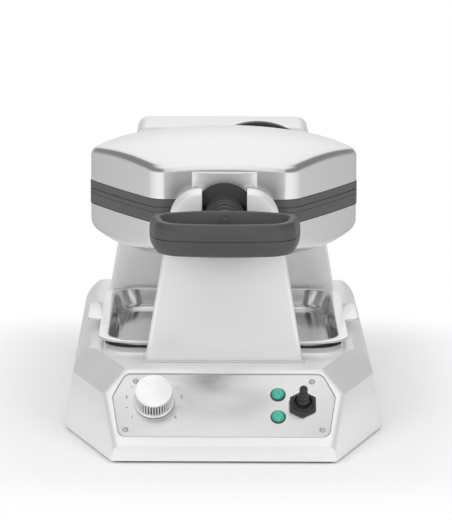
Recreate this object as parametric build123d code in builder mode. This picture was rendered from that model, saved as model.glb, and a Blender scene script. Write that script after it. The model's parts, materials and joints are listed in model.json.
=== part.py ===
from build123d import *

import math
import os

os.makedirs("parts", exist_ok=True)

# Frame: X to the right, Y from the front handle to the rear, Z up from the surface under the feet

# Overall sizes
overall_depth = 480.0
handle_overhang = 29.0
base_width = 262.0
gland_reach = 6.0
foot_reveal = 2.0
turn_axis_height = 186.0
cut_overrun = 5.0
seat_gap = 0.3

# Base casting: leaning walls, rounded shoulders, cut front corners and a flat deck
lip_height = 12.3
break_height = 46.6
deck_height = 63.2
panel_run = 54.3
front_edge_half = 89.5
corner_heading = 70.0
corner_lean = 7.2
corner_upper_lean = 53.7
rear_heading = 135.0
wall_lean = 7.46
shoulder_round = 22.7
rear_corner_cut = 26.0
base_wall = 4.0
panel_wall_run = 7.5
deck_thickness = 3.5

# Drip tray and the well that it drops into
tray_front_gap = 23.5
tray_margin = 53.0
tray_rear_gap = 5.0
tray_flange = 7.0
tray_depth = 19.0
tray_rim_above_deck = 9.0
tray_sheet = 1.0
tray_corner_round = 24.0
tray_draft_run = 4.0
tray_ear_length = 63.0
tray_ear_reach = 11.5
tray_ear_round = 7.0
tray_ear_offset = 11.0
tray_flange_thickness = 1.6
well_clearance = 1.2
well_wall = 2.5
well_collar_margin = 31.3
well_collar_front = 13.5
well_collar_rear = 3.0
well_collar_round = 20.0

# Bottom cover and feet
cover_recess = 1.0
cover_thickness = 1.5
cover_fit = 0.3
post_radius = 5.0
post_hole_radius = 1.6
post_hole_depth = 9.0
post_front_gap = 12.0
post_front_y = 26.0
post_middle_margin = 20.0
post_rear_margin = 53.0
post_rear_inset = 36.0
screw_head_radius = 3.2
screw_head_height = 0.9
foot_radius = 12.0
foot_hole_radius = 6.0
foot_hole_depth = 1.6
foot_front_offset = 0.5
foot_front_y = 86.0
foot_rear_margin = 27.0
foot_rear_inset = 48.0
foot_nut_height = 3.0

# Control panel on the sloping front
panel_seat_depth = 2.0
panel_thickness = 1.5
panel_fit = 0.3
panel_top_half = 79.5
panel_side_half = 89.8
panel_bottom_half = 84.2
panel_top = 69.3
panel_side = 47.2
panel_bottom = 8.9
panel_corner_round = 7.0
window_half = 72.0
window_low = 19.0
window_high = 60.5
window_round = 6.0
panel_screw_radius = 1.5
panel_screw_head = 2.5
panel_screw_head_height = 1.1
panel_screw_length = 4.2

# Browning knob and the control behind it
knob_place_x = -56.2
knob_place_y = 42.4
knob_base_radius = 16.5
knob_top_radius = 15.2
knob_height = 16.0
knob_skirt = 2.0
knob_gap = 0.8
knob_bore_depth = 11.0
knob_flutes = 40
knob_flute_radius = 0.6
pointer_angle = 40.0
pointer_width = 1.0
pointer_depth = 0.4
pointer_length = 9.0
control_nut_radius = 6.5
control_nut_height = 2.2
control_bush_radius = 4.5
control_shaft_radius = 3.0
control_shaft_clearance = 0.05
control_body_radius = 13.0
control_body_depth = 22.0
control_shaft_inside = 3.0

# Lamps
lamp_place_x = 43.5
lamp_ready_y = 49.5
lamp_power_y = 28.2
lamp_lens_radius = 5.3
lamp_lens_height = 3.2
lamp_lens_chamfer = 1.2
lamp_bezel_radius = 6.2
lamp_bezel_height = 1.0
lamp_body_radius = 4.6
lamp_body_depth = 24.0
lamp_clip_radius = 6.6
lamp_clip_height = 2.0

# Toggle switch with its rubber boot
toggle_place_x = 63.4
toggle_place_y = 39.5
toggle_hex_flat = 20.8
toggle_hex_height = 3.2
toggle_collar_radius = 8.6
toggle_collar_height = 2.6
toggle_thread_radius = 5.8
toggle_rest_angle = 5.0
toggle_pivot_depth = 1.0
toggle_swing_room = 1.2
boot_foot_radius = 6.2
boot_tip_radius = 3.4
boot_ribs = 4
boot_rib_depth = 0.9
boot_start = 3.8
boot_length = 21.0
boot_cap = 2.5
lever_radius = 1.8
lever_fit = 0.05
switch_body_width = 13.0
switch_body_length = 28.0
switch_body_depth = 20.0

# Front support leg and the saddle on top of it
leg_front_share = 0.2791667
leg_thickness = 12.5
leg_foot_half = 64.6
leg_lean_share = 0.1676
leg_top_below_axis = 34.0
leg_wall = 3.0
leg_foot_height = 12.0
leg_pad_height = 1.6
leg_pad_overhang = 1.6
leg_edge_round = 3.0
saddle_thickness = 11.0
saddle_top_above_axis = 22.0
saddle_round = 24.0
saddle_bevel = 2.2
slot_half = 18.2
leg_screw_radius = 2.0
leg_screw_head = 3.6
leg_screw_head_height = 2.6
leg_screw_grip = 8.0
leg_screw_spread = 38.0
saddle_stud_spread = 30.0
saddle_stud_bury = 6.0

# Front trunnion, made as two halves that part with the lid
trunnion_radius = 16.0
trunnion_clearance = 0.05
trunnion_overhang = 2.0
trunnion_split = 0.15
trunnion_tang_radius = 8.0
flange_radius = 25.0
flange_thickness = 3.6
flange_front_gap = 1.0
flange_edge = 7.0
flange_pocket_gap = 0.3

# Handle and neck
neck_radii = (14.6, 12.6, 13.6, 11.4, 12.2, 10.4)
neck_length_shares = (0.1223, 0.0918, 0.1223, 0.1529, 0.1223, 0.3884)
handle_half_width = 61.4
handle_depth = 57.0
handle_shoulder_half = 22.0
handle_shoulder_drop = 14.0
handle_front_half = 54.0
handle_front_bow = 7.0
handle_height = 26.0
handle_drop = 1.3
handle_bar = 9.5
handle_shoulder_round = 24.0
handle_side_round = 16.0
handle_front_round = 20.0
handle_edge_round = 4.4
handle_boss_radius = 9.4
handle_boss_length = 14.3
bolt_rise = 4.6
bolt_radius = 2.5
bolt_clearance = 0.1
bolt_head_radius = 3.9
bolt_head_height = 3.0
bolt_grip = 11.0

# Cooking head: six-sided halves that meet at the turning axis
head_side_bulge = 1.8
head_corner_round = 15.0
head_least_round = 4.0
rim_height_upper = 10.6
rim_height_lower = 8.5
lid_dome_share = 3.634
lower_dome_share = 2.54
lid_apex = 52.7
lower_apex = 53.0
cover_sheet = 1.5
lid_edge_round = 5.0
lower_edge_round = 8.0
rim_gap = 0.5
rim_tongue_gap = 0.9
rim_band_width = 13.5
rim_groove_height = 0.9
rim_groove_depth = 0.8
rim_groove_place = 3.8
rim_ledge_thickness = 4.0
rim_ledge_width = 24.0
boss_panel_half = 26.5
boss_panel_proud = 2.6
boss_panel_edge = 0.6
boss_panel_top = 34.0
screw_pad_depth = 7.0
screw_pad_margin = 6.0

# Cooking plates
plate_gap = 0.5
plate_thickness = 16.0
plate_border = 4.5
web_depth = 2.6
cup_pitch_share = 0.225919
cup_rings = 3
cup_mouth_share = 0.0998249
cup_depth = 9.0
plate_screw_radius = 2.0
plate_screw_head = 3.6
plate_screw_head_height = 2.2
plate_screw_bury = 4.0
plate_screw_inset = 23.2
plate_screws = 6

# Heating elements, insulation and sensors
heater_ring_share = 0.507881
heater_tube_radius = 3.5
heater_gap_angle = 30.0
heater_lead_radius = 2.5
heater_lead_length = 16.0
heater_lead_gap = 1.5
pad_thickness = 6.0
pad_inset = 27.0
sensor_radius = 8.0
sensor_height = 6.0

# Rear hinge
hinge_room = 50.7
hinge_setback = 8.7
hinge_above_axis = 18.0
hinge_pin_radius = 4.0
hinge_clearance = 0.05
knuckle_radius = 7.5
knuckle_gap = 0.3
lower_knuckle_inner = 34.0
lower_knuckle_outer = 46.0
lid_knuckle_inner = 20.6
pin_head_radius = 6.0
pin_head_height = 2.0
bracket_thickness = 6.4
bracket_half_share = 0.437828
bracket_foot = 36.0
bracket_shoulder = 2.0
lid_bracket_low = 12.0
lid_bracket_high = 32.0
lid_bracket_thickness = 4.0
bracket_screw_radius = 2.0
bracket_screw_head = 3.6
bracket_screw_head_height = 2.4
bracket_spread_share = 0.359019
bracket_screw_drop = 24.6
rim_screw_drop = 4.4
lid_screw_rise = 27.0
lid_screw_spread = 14.0

# Hub shaft and its bearing in the rear support
hub_clearance_radius = 23.6
hub_flange_radius = 22.0
hub_flange_thickness = 5.0
hub_radius = 18.0
hub_bore_radius = 11.0
hub_tail = 1.5
bush_wall = 3.0
bush_clearance = 0.05
bush_flange = 3.0
bush_flange_thickness = 2.0
bearing_wall = 8.0
bearing_flange_half = 29.5
bearing_flange_round = 6.0
bearing_flange_thickness = 4.0
bearing_length = 30.0
bearing_screw_circle = 34.0
bearing_screw_radius = 2.0
bearing_screw_head = 3.4
bearing_screw_head_height = 2.4
collar_wall = 3.2
collar_length = 9.0
collar_gap = 0.5
stop_reach = 7.0
stop_peg_radius = 3.0
stop_peg_circle = 25.4
stop_free_angle = 8.5

# Rear support housing
rear_front_share = 0.2791667
rear_depth = 59.0
rear_foot_margin = 29.4
rear_lean_share = 0.1705
rear_top_above_axis = 33.5
rear_round = 10.0
rear_wall = 3.0
rear_cover_thickness = 1.5
rear_cover_fit = 0.3
rear_post_radius = 4.5
rear_post_inset = 8.5
rear_post_rise = 12.0
rear_post_hole = 1.6
rear_screw_length = 9.0
rear_lug_width = 26.0
rear_lug_depth = 20.0
rear_lug_height = 8.0
rear_cable_hole = 14.0
guard_reach = 9.5
guard_top = 38.2
guard_low = 2.0
guard_middle = 31.0
guard_half = 37.0
guard_arc_drop = 13.0
guard_wall = 2.5
guard_hub_gap = 2.0

# Parts inside the base
gland_radius = 7.5
gland_flange_radius = 10.5
gland_flange_thickness = 3.0
gland_bore_radius = 4.5
gland_height = 24.0
gland_inner_length = 20.0
gland_nut_thickness = 4.0
board_width = 76.0
board_length = 46.0
board_thickness = 1.6
board_setback = 88.0
standoff_radius = 3.0
standoff_height = 5.0
relay_size = 16.0
relay_height = 14.0
relay_place = 20.0
buzzer_radius = 7.0
buzzer_height = 8.0
terminal_width = 46.0
terminal_length = 16.0
terminal_height = 14.0
terminal_inset = 60.0
terminal_hole_radius = 2.0
terminal_poles = 3

# Planes and places worked out from the sizes above
base_front = -overall_depth / 2 + handle_overhang
base_rear = overall_depth / 2 - gland_reach
base_length = base_rear - base_front
base_bottom = foot_reveal
deck_top = base_bottom + deck_height
deck_under = deck_top - deck_thickness
cover_low = base_bottom + cover_recess
cover_top = cover_low + cover_thickness
axis_up = turn_axis_height
lean_share = math.tan(math.radians(wall_lean))
panel_rise = deck_height - lip_height
panel_plane = Plane(
    origin=(0, base_front, base_bottom + lip_height),
    x_dir=(1, 0, 0),
    z_dir=(0, -panel_rise, panel_run),
)
panel_seat = panel_plane.offset(-panel_seat_depth)
panel_face = panel_seat.offset(panel_thickness)
corner_share = math.cos(math.radians(30))
leg_front = -overall_depth * leg_front_share
leg_back = leg_front + leg_thickness
leg_low = deck_top + leg_pad_height
leg_top = axis_up - leg_top_below_axis
saddle_back = leg_front + saddle_thickness
saddle_top = axis_up + saddle_top_above_axis
trunnion_front = leg_front - trunnion_overhang
flange_front = saddle_back + flange_front_gap
flange_back = flange_front + flange_thickness
rear_front = overall_depth * rear_front_share
head_front = flange_back + seat_gap
head_back = rear_front - hinge_room
head_centre = (head_front + head_back) / 2
head_apothem = (head_back - head_front) / 2
head_corner_radius = (head_apothem - head_side_bulge) / corner_share
lid_dome = head_corner_radius * lid_dome_share
lower_dome = head_corner_radius * lower_dome_share
handle_front = -overall_depth / 2
handle_back = handle_front + handle_depth
neck_front = handle_back + handle_boss_length
neck_length = trunnion_front - neck_front
handle_low = axis_up - handle_drop - handle_height / 2
handle_middle = handle_low + handle_height / 2
tray_front = leg_back + tray_front_gap
tray_length = rear_front - tray_rear_gap - tray_front
tray_width = base_width - tray_margin
tray_middle = tray_front + tray_length / 2
tray_rim = deck_top + tray_rim_above_deck
tray_underside = tray_rim - tray_flange_thickness
pan_half_width = tray_width / 2 - tray_flange
pan_half_length = tray_length / 2 - tray_flange
well_floor = tray_rim - tray_depth - seat_gap
plate_inset = rim_band_width + plate_gap
plate_back = trunnion_split + plate_thickness
ledge_low = plate_back + seat_gap
ledge_high = ledge_low + rim_ledge_thickness
pad_low = plate_back + 2 * heater_tube_radius + 2 * seat_gap
cup_pitch = head_corner_radius * cup_pitch_share
cup_mouth_radius = head_corner_radius * cup_mouth_share
plate_screw_circle = head_corner_radius - plate_screw_inset
heater_ring_radius = head_corner_radius * heater_ring_share
bracket_front = head_back + seat_gap
bracket_back = bracket_front + bracket_thickness
bracket_half = head_corner_radius * bracket_half_share
bracket_screw_spread = head_corner_radius * bracket_spread_share
hinge_place_y = head_back + hinge_setback
hinge_up = axis_up + hinge_above_axis
rear_foot_half = base_width / 2 - rear_foot_margin
rear_back = rear_front + rear_depth
rear_middle = rear_front + rear_depth / 2
rear_top = axis_up + rear_top_above_axis
bearing_seat = rear_front + rear_wall
bearing_end = bearing_seat + bearing_length
bush_outer = hub_radius + bush_clearance + bush_wall
bearing_outer = bush_outer + bush_clearance + bearing_wall
collar_front = bearing_end + collar_gap
collar_back = collar_front + collar_length
gland_up = base_bottom + gland_height
gland_seat = base_rear - (gland_height - gland_flange_radius) * lean_share + seat_gap
gland_inner = base_rear - base_wall - (gland_height + gland_flange_radius) * lean_share - seat_gap
board_low = cover_top + standoff_height


# Shared steps
def save(piece, name):
    """Labels a finished piece and writes its file."""
    piece.part.label = name
    export_step(piece.part, f"parts/{name}.step")


def facing(place_y, height=axis_up):
    """A plane square to Y that looks forward, over the middle of the machine."""
    return Plane(origin=(0, place_y, height), x_dir=(1, 0, 0), z_dir=(0, -1, 0))


def sideways(place_x, place_y, height):
    """A plane square to X that looks right."""
    return Plane(origin=(place_x, place_y, height), x_dir=(0, 1, 0), z_dir=(1, 0, 0))


def rods(plane, places, radius, length, mode=Mode.ADD):
    """Round bars that rise from a plane."""
    with BuildSketch(plane) as profile:
        with Locations(*places):
            Circle(radius)
    extrude(profile.sketch, amount=length, mode=mode)


def bars(plane, places, width, length, height, mode=Mode.ADD):
    """Square-cut blocks that rise from a plane."""
    with BuildSketch(plane) as profile:
        with Locations(*places):
            Rectangle(width, length)
    extrude(profile.sketch, amount=height, mode=mode)


def rounded(plane, middle, width, length, corner, height, mode=Mode.ADD):
    """A block with rounded corners that rises from a plane."""
    with BuildSketch(plane) as profile:
        with Locations(middle):
            RectangleRounded(width, length, corner)
    extrude(profile.sketch, amount=height, mode=mode)


# Base
def corner_plane(sign, heading, lean, point, inset):
    """A leaning plane that cuts a corner, moved inward by an inset."""
    turn = math.radians(heading)
    tilt = math.radians(lean)
    normal = (sign * math.sin(turn) * math.cos(tilt), -math.cos(turn) * math.cos(tilt), math.sin(tilt))
    return Plane(origin=point, z_dir=normal).offset(-inset)


def base_block(inset, front_inset, roof):
    """The base as one closed block, or the hollow inside it."""
    low_half = base_width / 2 - inset
    front = base_front + front_inset
    rear = base_rear - inset
    panel_end = front + panel_run * (roof - lip_height) / panel_rise
    break_reach = front_edge_half - break_height * math.tan(math.radians(corner_lean)) / math.sin(
        math.radians(corner_heading)
    )
    with BuildPart() as block:
        with BuildSketch(sideways(-base_width / 2, 0, base_bottom)) as profile:
            Polygon(
                (front, 0),
                (front, lip_height),
                (panel_end, roof),
                (rear - roof * lean_share, roof),
                (rear, 0),
                align=None,
            )
        extrude(amount=base_width)
        for sign in (-1, 1):
            side_normal = (sign, 0, lean_share)
            side_wall = Plane(origin=(sign * low_half, 0, base_bottom), z_dir=side_normal)
            split(bisect_by=side_wall, keep=Keep.BOTTOM)
        roof_edges = block.faces().sort_by(Axis.Z)[-1].edges()
        shoulders = roof_edges.sort_by(lambda edge: edge.center().Y)[1:]
        fillet(shoulders, shoulder_round - inset)
        for sign in (-1, 1):
            lower_point = (sign * front_edge_half, base_front, base_bottom)
            upper_point = (sign * break_reach, base_front, base_bottom + break_height)
            rear_point = (sign * base_width / 2, base_rear - rear_corner_cut, base_bottom)
            lower_cut = corner_plane(sign, corner_heading, corner_lean, lower_point, inset)
            upper_cut = corner_plane(sign, corner_heading, corner_upper_lean, upper_point, inset)
            rear_cut = corner_plane(sign, rear_heading, wall_lean, rear_point, inset)
            split(bisect_by=lower_cut, keep=Keep.BOTTOM)
            split(bisect_by=upper_cut, keep=Keep.BOTTOM)
            split(bisect_by=rear_cut, keep=Keep.BOTTOM)
    return block


def panel_outline(plane, shrink, depth, mode=Mode.ADD):
    """The six-sided control panel, or its seat, with rounded corners."""
    with BuildSketch(plane) as outline:
        Polygon(
            (-panel_top_half + shrink, panel_top - shrink),
            (-panel_side_half + shrink, panel_side),
            (-panel_bottom_half + shrink, panel_bottom + shrink),
            (panel_bottom_half - shrink, panel_bottom + shrink),
            (panel_side_half - shrink, panel_side),
            (panel_top_half - shrink, panel_top - shrink),
            align=None,
        )
        fillet(outline.vertices(), panel_corner_round - shrink)
    extrude(outline.sketch, amount=depth, mode=mode)


post_places = [
    (sign * across, base_front + along)
    for sign in (-1, 1)
    for across, along in (
        (window_half + post_front_gap, post_front_y),
        (base_width / 2 - post_middle_margin, tray_middle - base_front),
        (base_width / 2 - post_rear_margin, base_length - post_rear_inset),
    )
]
foot_places = [
    (sign * across, base_front + along)
    for sign in (-1, 1)
    for across, along in (
        (front_edge_half + foot_front_offset, foot_front_y),
        (base_width / 2 - foot_rear_margin, base_length - foot_rear_inset),
    )
]
panel_screw_places = [
    (sign * across, up)
    for sign in (-1, 1)
    for across, up in (
        (panel_top_half - panel_corner_round - panel_screw_radius, panel_top - panel_corner_round),
        (panel_bottom_half - panel_corner_round + panel_screw_radius, panel_bottom + panel_corner_round),
    )
]
lug_place = rear_foot_half - rear_lug_width / 2 - rear_wall / 2
leg_screw_places = [(sign * leg_screw_spread, (leg_front + leg_back) / 2) for sign in (-1, 1)]
lug_screw_places = [(sign * lug_place, rear_middle) for sign in (-1, 1)]
board_middle = (0, base_front + board_setback)
board_corners = [
    (side * (board_width / 2 - standoff_radius), board_middle[1] + end * (board_length / 2 - standoff_radius))
    for side in (-1, 1)
    for end in (-1, 1)
]
knob_place = (knob_place_x, knob_place_y)
ready_place = (lamp_place_x, lamp_ready_y)
power_place = (lamp_place_x, lamp_power_y)
toggle_place = (toggle_place_x, toggle_place_y)
well_middle = (0, tray_middle)
well_width = 2 * (pan_half_width + well_clearance)
well_length = 2 * (pan_half_length + well_clearance)
collar_middle = (0, tray_middle - (well_collar_front - well_collar_rear) / 2)

base_solid = base_block(0, 0, deck_height)
base_hollow = base_block(base_wall, panel_wall_run, deck_height - deck_thickness)

with BuildPart() as base_room:
    add(base_hollow.part)
    rods(Plane.XY.offset(cover_top), post_places, post_radius, deck_height, mode=Mode.SUBTRACT)
    rounded(
        Plane.XY.offset(well_floor - well_wall),
        well_middle,
        well_width + 2 * well_wall,
        well_length + 2 * well_wall,
        tray_corner_round,
        deck_height,
        mode=Mode.SUBTRACT,
    )

with BuildPart() as base_housing:
    add(base_solid.part)
    # raised collar round the tray well
    rounded(
        Plane.XY.offset(deck_top),
        collar_middle,
        base_width - 2 * well_collar_margin,
        tray_length + well_collar_front + well_collar_rear,
        well_collar_round,
        tray_underside - seat_gap - deck_top,
    )
    add(base_room.part, mode=Mode.SUBTRACT)
    rounded(
        Plane.XY.offset(well_floor),
        well_middle,
        well_width,
        well_length,
        tray_corner_round,
        deck_height,
        mode=Mode.SUBTRACT,
    )
    # seat, window and screw holes of the control panel
    panel_outline(panel_seat, 0, panel_seat_depth + cut_overrun, mode=Mode.SUBTRACT)
    rounded(
        panel_seat,
        (0, (window_low + window_high) / 2),
        2 * window_half,
        window_high - window_low,
        window_round,
        -panel_wall_run - cut_overrun,
        mode=Mode.SUBTRACT,
    )
    rods(panel_seat, panel_screw_places, panel_screw_radius, -panel_screw_length, mode=Mode.SUBTRACT)
    # screw holes of the leg, the rear support and the bottom cover
    rods(
        Plane.XY.offset(deck_under - cut_overrun),
        leg_screw_places + lug_screw_places,
        leg_screw_radius,
        deck_thickness + 2 * cut_overrun,
        mode=Mode.SUBTRACT,
    )
    rods(Plane.XY.offset(cover_top), post_places, post_hole_radius, post_hole_depth, mode=Mode.SUBTRACT)
    # way for the leads up into the rear support
    rods(
        Plane.XY.offset(deck_under - cut_overrun),
        [(0, rear_middle)],
        rear_cable_hole,
        deck_thickness + 2 * cut_overrun,
        mode=Mode.SUBTRACT,
    )
    # hole of the cord gland
    rods(facing(base_rear, gland_up), [(0, 0)], gland_radius, gland_inner_length, mode=Mode.SUBTRACT)
save(base_housing, "base_housing")

base_floor = base_block(base_wall + cover_fit, panel_wall_run + cover_fit, deck_height - deck_thickness)
with BuildPart() as base_plate:
    add(base_floor.part)
    split(bisect_by=Plane.XY.offset(cover_low), keep=Keep.TOP)
    split(bisect_by=Plane.XY.offset(cover_top), keep=Keep.BOTTOM)
    rods(Plane.XY.offset(cover_top), board_corners, standoff_radius, standoff_height)
    rods(
        Plane.XY.offset(cover_low),
        post_places + foot_places,
        post_hole_radius,
        cover_thickness,
        mode=Mode.SUBTRACT,
    )
save(base_plate, "base_plate")

with BuildPart() as rubber_feet:
    rods(Plane.XY, foot_places, foot_radius, cover_low)
    rods(Plane.XY, foot_places, foot_hole_radius, foot_hole_depth, mode=Mode.SUBTRACT)
    rods(Plane.XY, foot_places, post_hole_radius, cover_low, mode=Mode.SUBTRACT)
save(rubber_feet, "rubber_feet")

# Control panel and its screws
with BuildPart() as control_panel:
    panel_outline(panel_seat, panel_fit, panel_thickness)
    rods(panel_seat, [knob_place], control_bush_radius, panel_thickness, mode=Mode.SUBTRACT)
    rods(panel_seat, [ready_place, power_place], lamp_body_radius, panel_thickness, mode=Mode.SUBTRACT)
    rods(panel_seat, [toggle_place], toggle_thread_radius, panel_thickness, mode=Mode.SUBTRACT)
    rods(panel_seat, panel_screw_places, panel_screw_radius, panel_thickness, mode=Mode.SUBTRACT)
save(control_panel, "control_panel")

with BuildPart() as panel_screws:
    rods(panel_face, panel_screw_places, panel_screw_head, panel_screw_head_height)
    rods(panel_face, panel_screw_places, panel_screw_radius, -panel_screw_length)
save(panel_screws, "panel_screws")

# Browning control: body and nut stay, shaft and knob turn
shaft_floor = panel_seat.offset(-control_shaft_inside)
knob_floor = panel_face.offset(knob_gap)
with BuildPart() as browning_control:
    rods(panel_seat, [knob_place], control_body_radius, -control_body_depth)
    rods(panel_seat, [knob_place], control_bush_radius, panel_thickness + control_nut_height)
    rods(
        shaft_floor,
        [knob_place],
        control_shaft_radius + control_shaft_clearance,
        control_shaft_inside + panel_thickness + control_nut_height,
        mode=Mode.SUBTRACT,
    )
save(browning_control, "browning_control")

with BuildPart() as browning_control_nut:
    with BuildSketch(panel_face):
        with Locations(knob_place):
            RegularPolygon(control_nut_radius, 6)
            Circle(control_bush_radius, mode=Mode.SUBTRACT)
    extrude(amount=control_nut_height)
save(browning_control_nut, "browning_control_nut")

with BuildPart() as browning_shaft:
    rods(
        shaft_floor,
        [knob_place],
        control_shaft_radius,
        control_shaft_inside + panel_thickness + knob_gap + knob_bore_depth,
    )
save(browning_shaft, "browning_shaft")

with BuildPart() as browning_knob:
    rods(knob_floor, [knob_place], knob_base_radius, knob_skirt)
    rods(knob_floor, [knob_place], knob_top_radius, knob_height)
    with BuildSketch(knob_floor.offset(knob_skirt)):
        with Locations(knob_place):
            with PolarLocations(knob_top_radius, knob_flutes):
                Circle(knob_flute_radius)
    extrude(amount=knob_height, mode=Mode.SUBTRACT)
    rods(knob_floor, [knob_place], control_shaft_radius, knob_bore_depth, mode=Mode.SUBTRACT)
    rods(knob_floor, [knob_place], control_nut_radius + knob_gap, control_nut_height, mode=Mode.SUBTRACT)
    with BuildSketch(knob_floor.offset(knob_height - pointer_depth)):
        with Locations(Location((knob_place_x, knob_place_y, 0), (0, 0, pointer_angle))):
            with Locations((0, knob_top_radius - pointer_length / 2)):
                Rectangle(pointer_width, pointer_length)
    extrude(amount=pointer_depth, mode=Mode.SUBTRACT)
save(browning_knob, "browning_knob")

# Lamps
with BuildPart() as lamp_lenses:
    rods(panel_face, [ready_place, power_place], lamp_bezel_radius, lamp_bezel_height)
    rods(panel_face, [ready_place, power_place], lamp_lens_radius, lamp_lens_height)
    crowns = lamp_lenses.faces().sort_by(Axis(panel_face.origin, panel_face.z_dir))[-2:]
    chamfer(crowns.edges(), lamp_lens_chamfer)
save(lamp_lenses, "lamp_lenses")

with BuildPart() as lamp_bodies:
    rods(panel_face, [ready_place, power_place], lamp_body_radius, -lamp_body_depth)
    rods(panel_seat, [ready_place, power_place], lamp_clip_radius, -lamp_clip_height)
save(lamp_bodies, "lamp_bodies")

# Toggle switch: body and boot nut stay, lever and boot tilt
with BuildPart() as switch_body:
    bars(panel_seat, [toggle_place], switch_body_width, switch_body_length, -switch_body_depth)
    rods(panel_seat, [toggle_place], toggle_thread_radius, panel_thickness + toggle_hex_height)
    rods(
        panel_face.offset(-toggle_pivot_depth - lever_radius - toggle_swing_room),
        [toggle_place],
        lever_radius + toggle_swing_room,
        deck_height,
        mode=Mode.SUBTRACT,
    )
save(switch_body, "switch_body")

with BuildPart() as switch_boot_nut:
    with BuildSketch(panel_face):
        with Locations(toggle_place):
            RegularPolygon(toggle_hex_flat / 2, 6, major_radius=False, rotation=30)
            Circle(toggle_thread_radius, mode=Mode.SUBTRACT)
    extrude(amount=toggle_hex_height)
    with BuildSketch(panel_face.offset(toggle_hex_height)):
        with Locations(toggle_place):
            Circle(toggle_collar_radius)
            Circle(boot_foot_radius + toggle_swing_room, mode=Mode.SUBTRACT)
    extrude(amount=toggle_collar_height)
save(switch_boot_nut, "switch_boot_nut")

toggle_pivot = panel_face.offset(-toggle_pivot_depth).from_local_coords(Vector(*toggle_place, 0))
toggle_square = Plane(origin=toggle_pivot, x_dir=(1, 0, 0), z_dir=panel_face.z_dir)
toggle_plane = toggle_square.rotated((-toggle_rest_angle, 0, 0))
lever_length = toggle_pivot_depth + boot_start + boot_length - boot_cap
with BuildPart() as toggle_lever:
    rods(toggle_plane, [(0, 0)], lever_radius, lever_length)
save(toggle_lever, "toggle_lever")

boot_low = toggle_pivot_depth + boot_start
boot_rise = boot_length / (2 * boot_ribs)
boot_edge = []
for step in range(2 * boot_ribs):
    level = boot_low + boot_rise * step
    radius = boot_foot_radius + (boot_tip_radius - boot_foot_radius) * step / (2 * boot_ribs)
    radius -= boot_rib_depth * (step % 2)
    boot_edge += [(radius, level), (radius, level + boot_rise)]
with BuildPart() as toggle_boot:
    with BuildSketch(Plane(origin=toggle_pivot, x_dir=(1, 0, 0), z_dir=-toggle_plane.y_dir)):
        Polygon((0, boot_low), *boot_edge, (0, boot_low + boot_length), align=None)
    revolve(axis=Axis(toggle_pivot, toggle_plane.z_dir))
    rods(toggle_plane, [(0, 0)], lever_radius + lever_fit, lever_length, mode=Mode.SUBTRACT)
save(toggle_boot, "toggle_boot")


# Front support
def leg_half(height):
    """Half the width of the front support at a height."""
    return leg_foot_half - leg_lean_share * (height - deck_top)


def leg_block(plane_y, depth, low, high, inset, mode=Mode.ADD):
    """A slice of the tapering front support."""
    with BuildSketch(facing(plane_y, 0)) as outline:
        Polygon(
            (-leg_half(low) + inset, low),
            (leg_half(low) - inset, low),
            (leg_half(high) - inset, high),
            (-leg_half(high) + inset, high),
            align=None,
        )
    extrude(outline.sketch, amount=depth, mode=mode)


with BuildPart() as front_support_gasket:
    bars(
        Plane.XY.offset(deck_top),
        [(0, (leg_front + leg_back) / 2)],
        2 * (leg_foot_half + leg_pad_overhang),
        leg_thickness + 2 * leg_pad_overhang,
        leg_pad_height,
    )
    rods(Plane.XY.offset(deck_top), leg_screw_places, leg_screw_radius, leg_pad_height, mode=Mode.SUBTRACT)
save(front_support_gasket, "front_support_gasket")

saddle_stud_places = [(sign * saddle_stud_spread, leg_front + saddle_thickness / 2) for sign in (-1, 1)]
with BuildPart() as front_support:
    leg_block(leg_back, leg_thickness, leg_low, leg_top, 0)
    long_edges = front_support.edges().filter_by(lambda edge: edge.length > leg_thickness)
    fillet(long_edges.filter_by(lambda edge: edge.bounding_box().size.Z > leg_thickness), leg_edge_round)
    leg_block(
        leg_back - leg_wall,
        leg_thickness - 2 * leg_wall,
        leg_low + leg_foot_height,
        leg_top - leg_foot_height,
        leg_wall,
        mode=Mode.SUBTRACT,
    )
    rods(Plane.XY.offset(leg_low), leg_screw_places, leg_screw_radius, leg_screw_grip, mode=Mode.SUBTRACT)
    rods(Plane.XY.offset(leg_top), saddle_stud_places, leg_screw_radius, -saddle_stud_bury, mode=Mode.SUBTRACT)
save(front_support, "front_support")

with BuildPart() as front_saddle:
    with BuildSketch(facing(saddle_back, 0)) as saddle_outline:
        Polygon(
            (-leg_half(leg_top), leg_top),
            (leg_half(leg_top), leg_top),
            (leg_half(saddle_top), saddle_top),
            (-leg_half(saddle_top), saddle_top),
            align=None,
        )
        fillet(saddle_outline.vertices().group_by(Axis.Y)[-1], saddle_round)
    extrude(amount=saddle_thickness)
    front_face = front_saddle.faces().sort_by(Axis.Y)[0]
    chamfer(front_face.edges().filter_by(lambda edge: edge.center().Z > leg_top + seat_gap), saddle_bevel)
    rods(facing(saddle_back), [(0, 0)], slot_half, saddle_thickness, mode=Mode.SUBTRACT)
    bars(
        facing(saddle_back),
        [(0, saddle_top_above_axis)],
        2 * slot_half,
        2 * saddle_top_above_axis,
        saddle_thickness,
        mode=Mode.SUBTRACT,
    )
    rods(Plane.XY.offset(leg_top), saddle_stud_places, leg_screw_radius, saddle_stud_bury, mode=Mode.SUBTRACT)
save(front_saddle, "front_saddle")

with BuildPart() as saddle_studs:
    rods(
        Plane.XY.offset(leg_top - saddle_stud_bury),
        saddle_stud_places,
        leg_screw_radius,
        2 * saddle_stud_bury,
    )
save(saddle_studs, "saddle_studs")

with BuildPart() as saddle_liner:
    rods(facing(saddle_back), [(0, 0)], slot_half, saddle_thickness)
    rods(
        facing(saddle_back),
        [(0, 0)],
        trunnion_radius + trunnion_clearance,
        saddle_thickness,
        mode=Mode.SUBTRACT,
    )
    split(bisect_by=Plane.XY.offset(axis_up), keep=Keep.BOTTOM)
save(saddle_liner, "saddle_liner")


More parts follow.
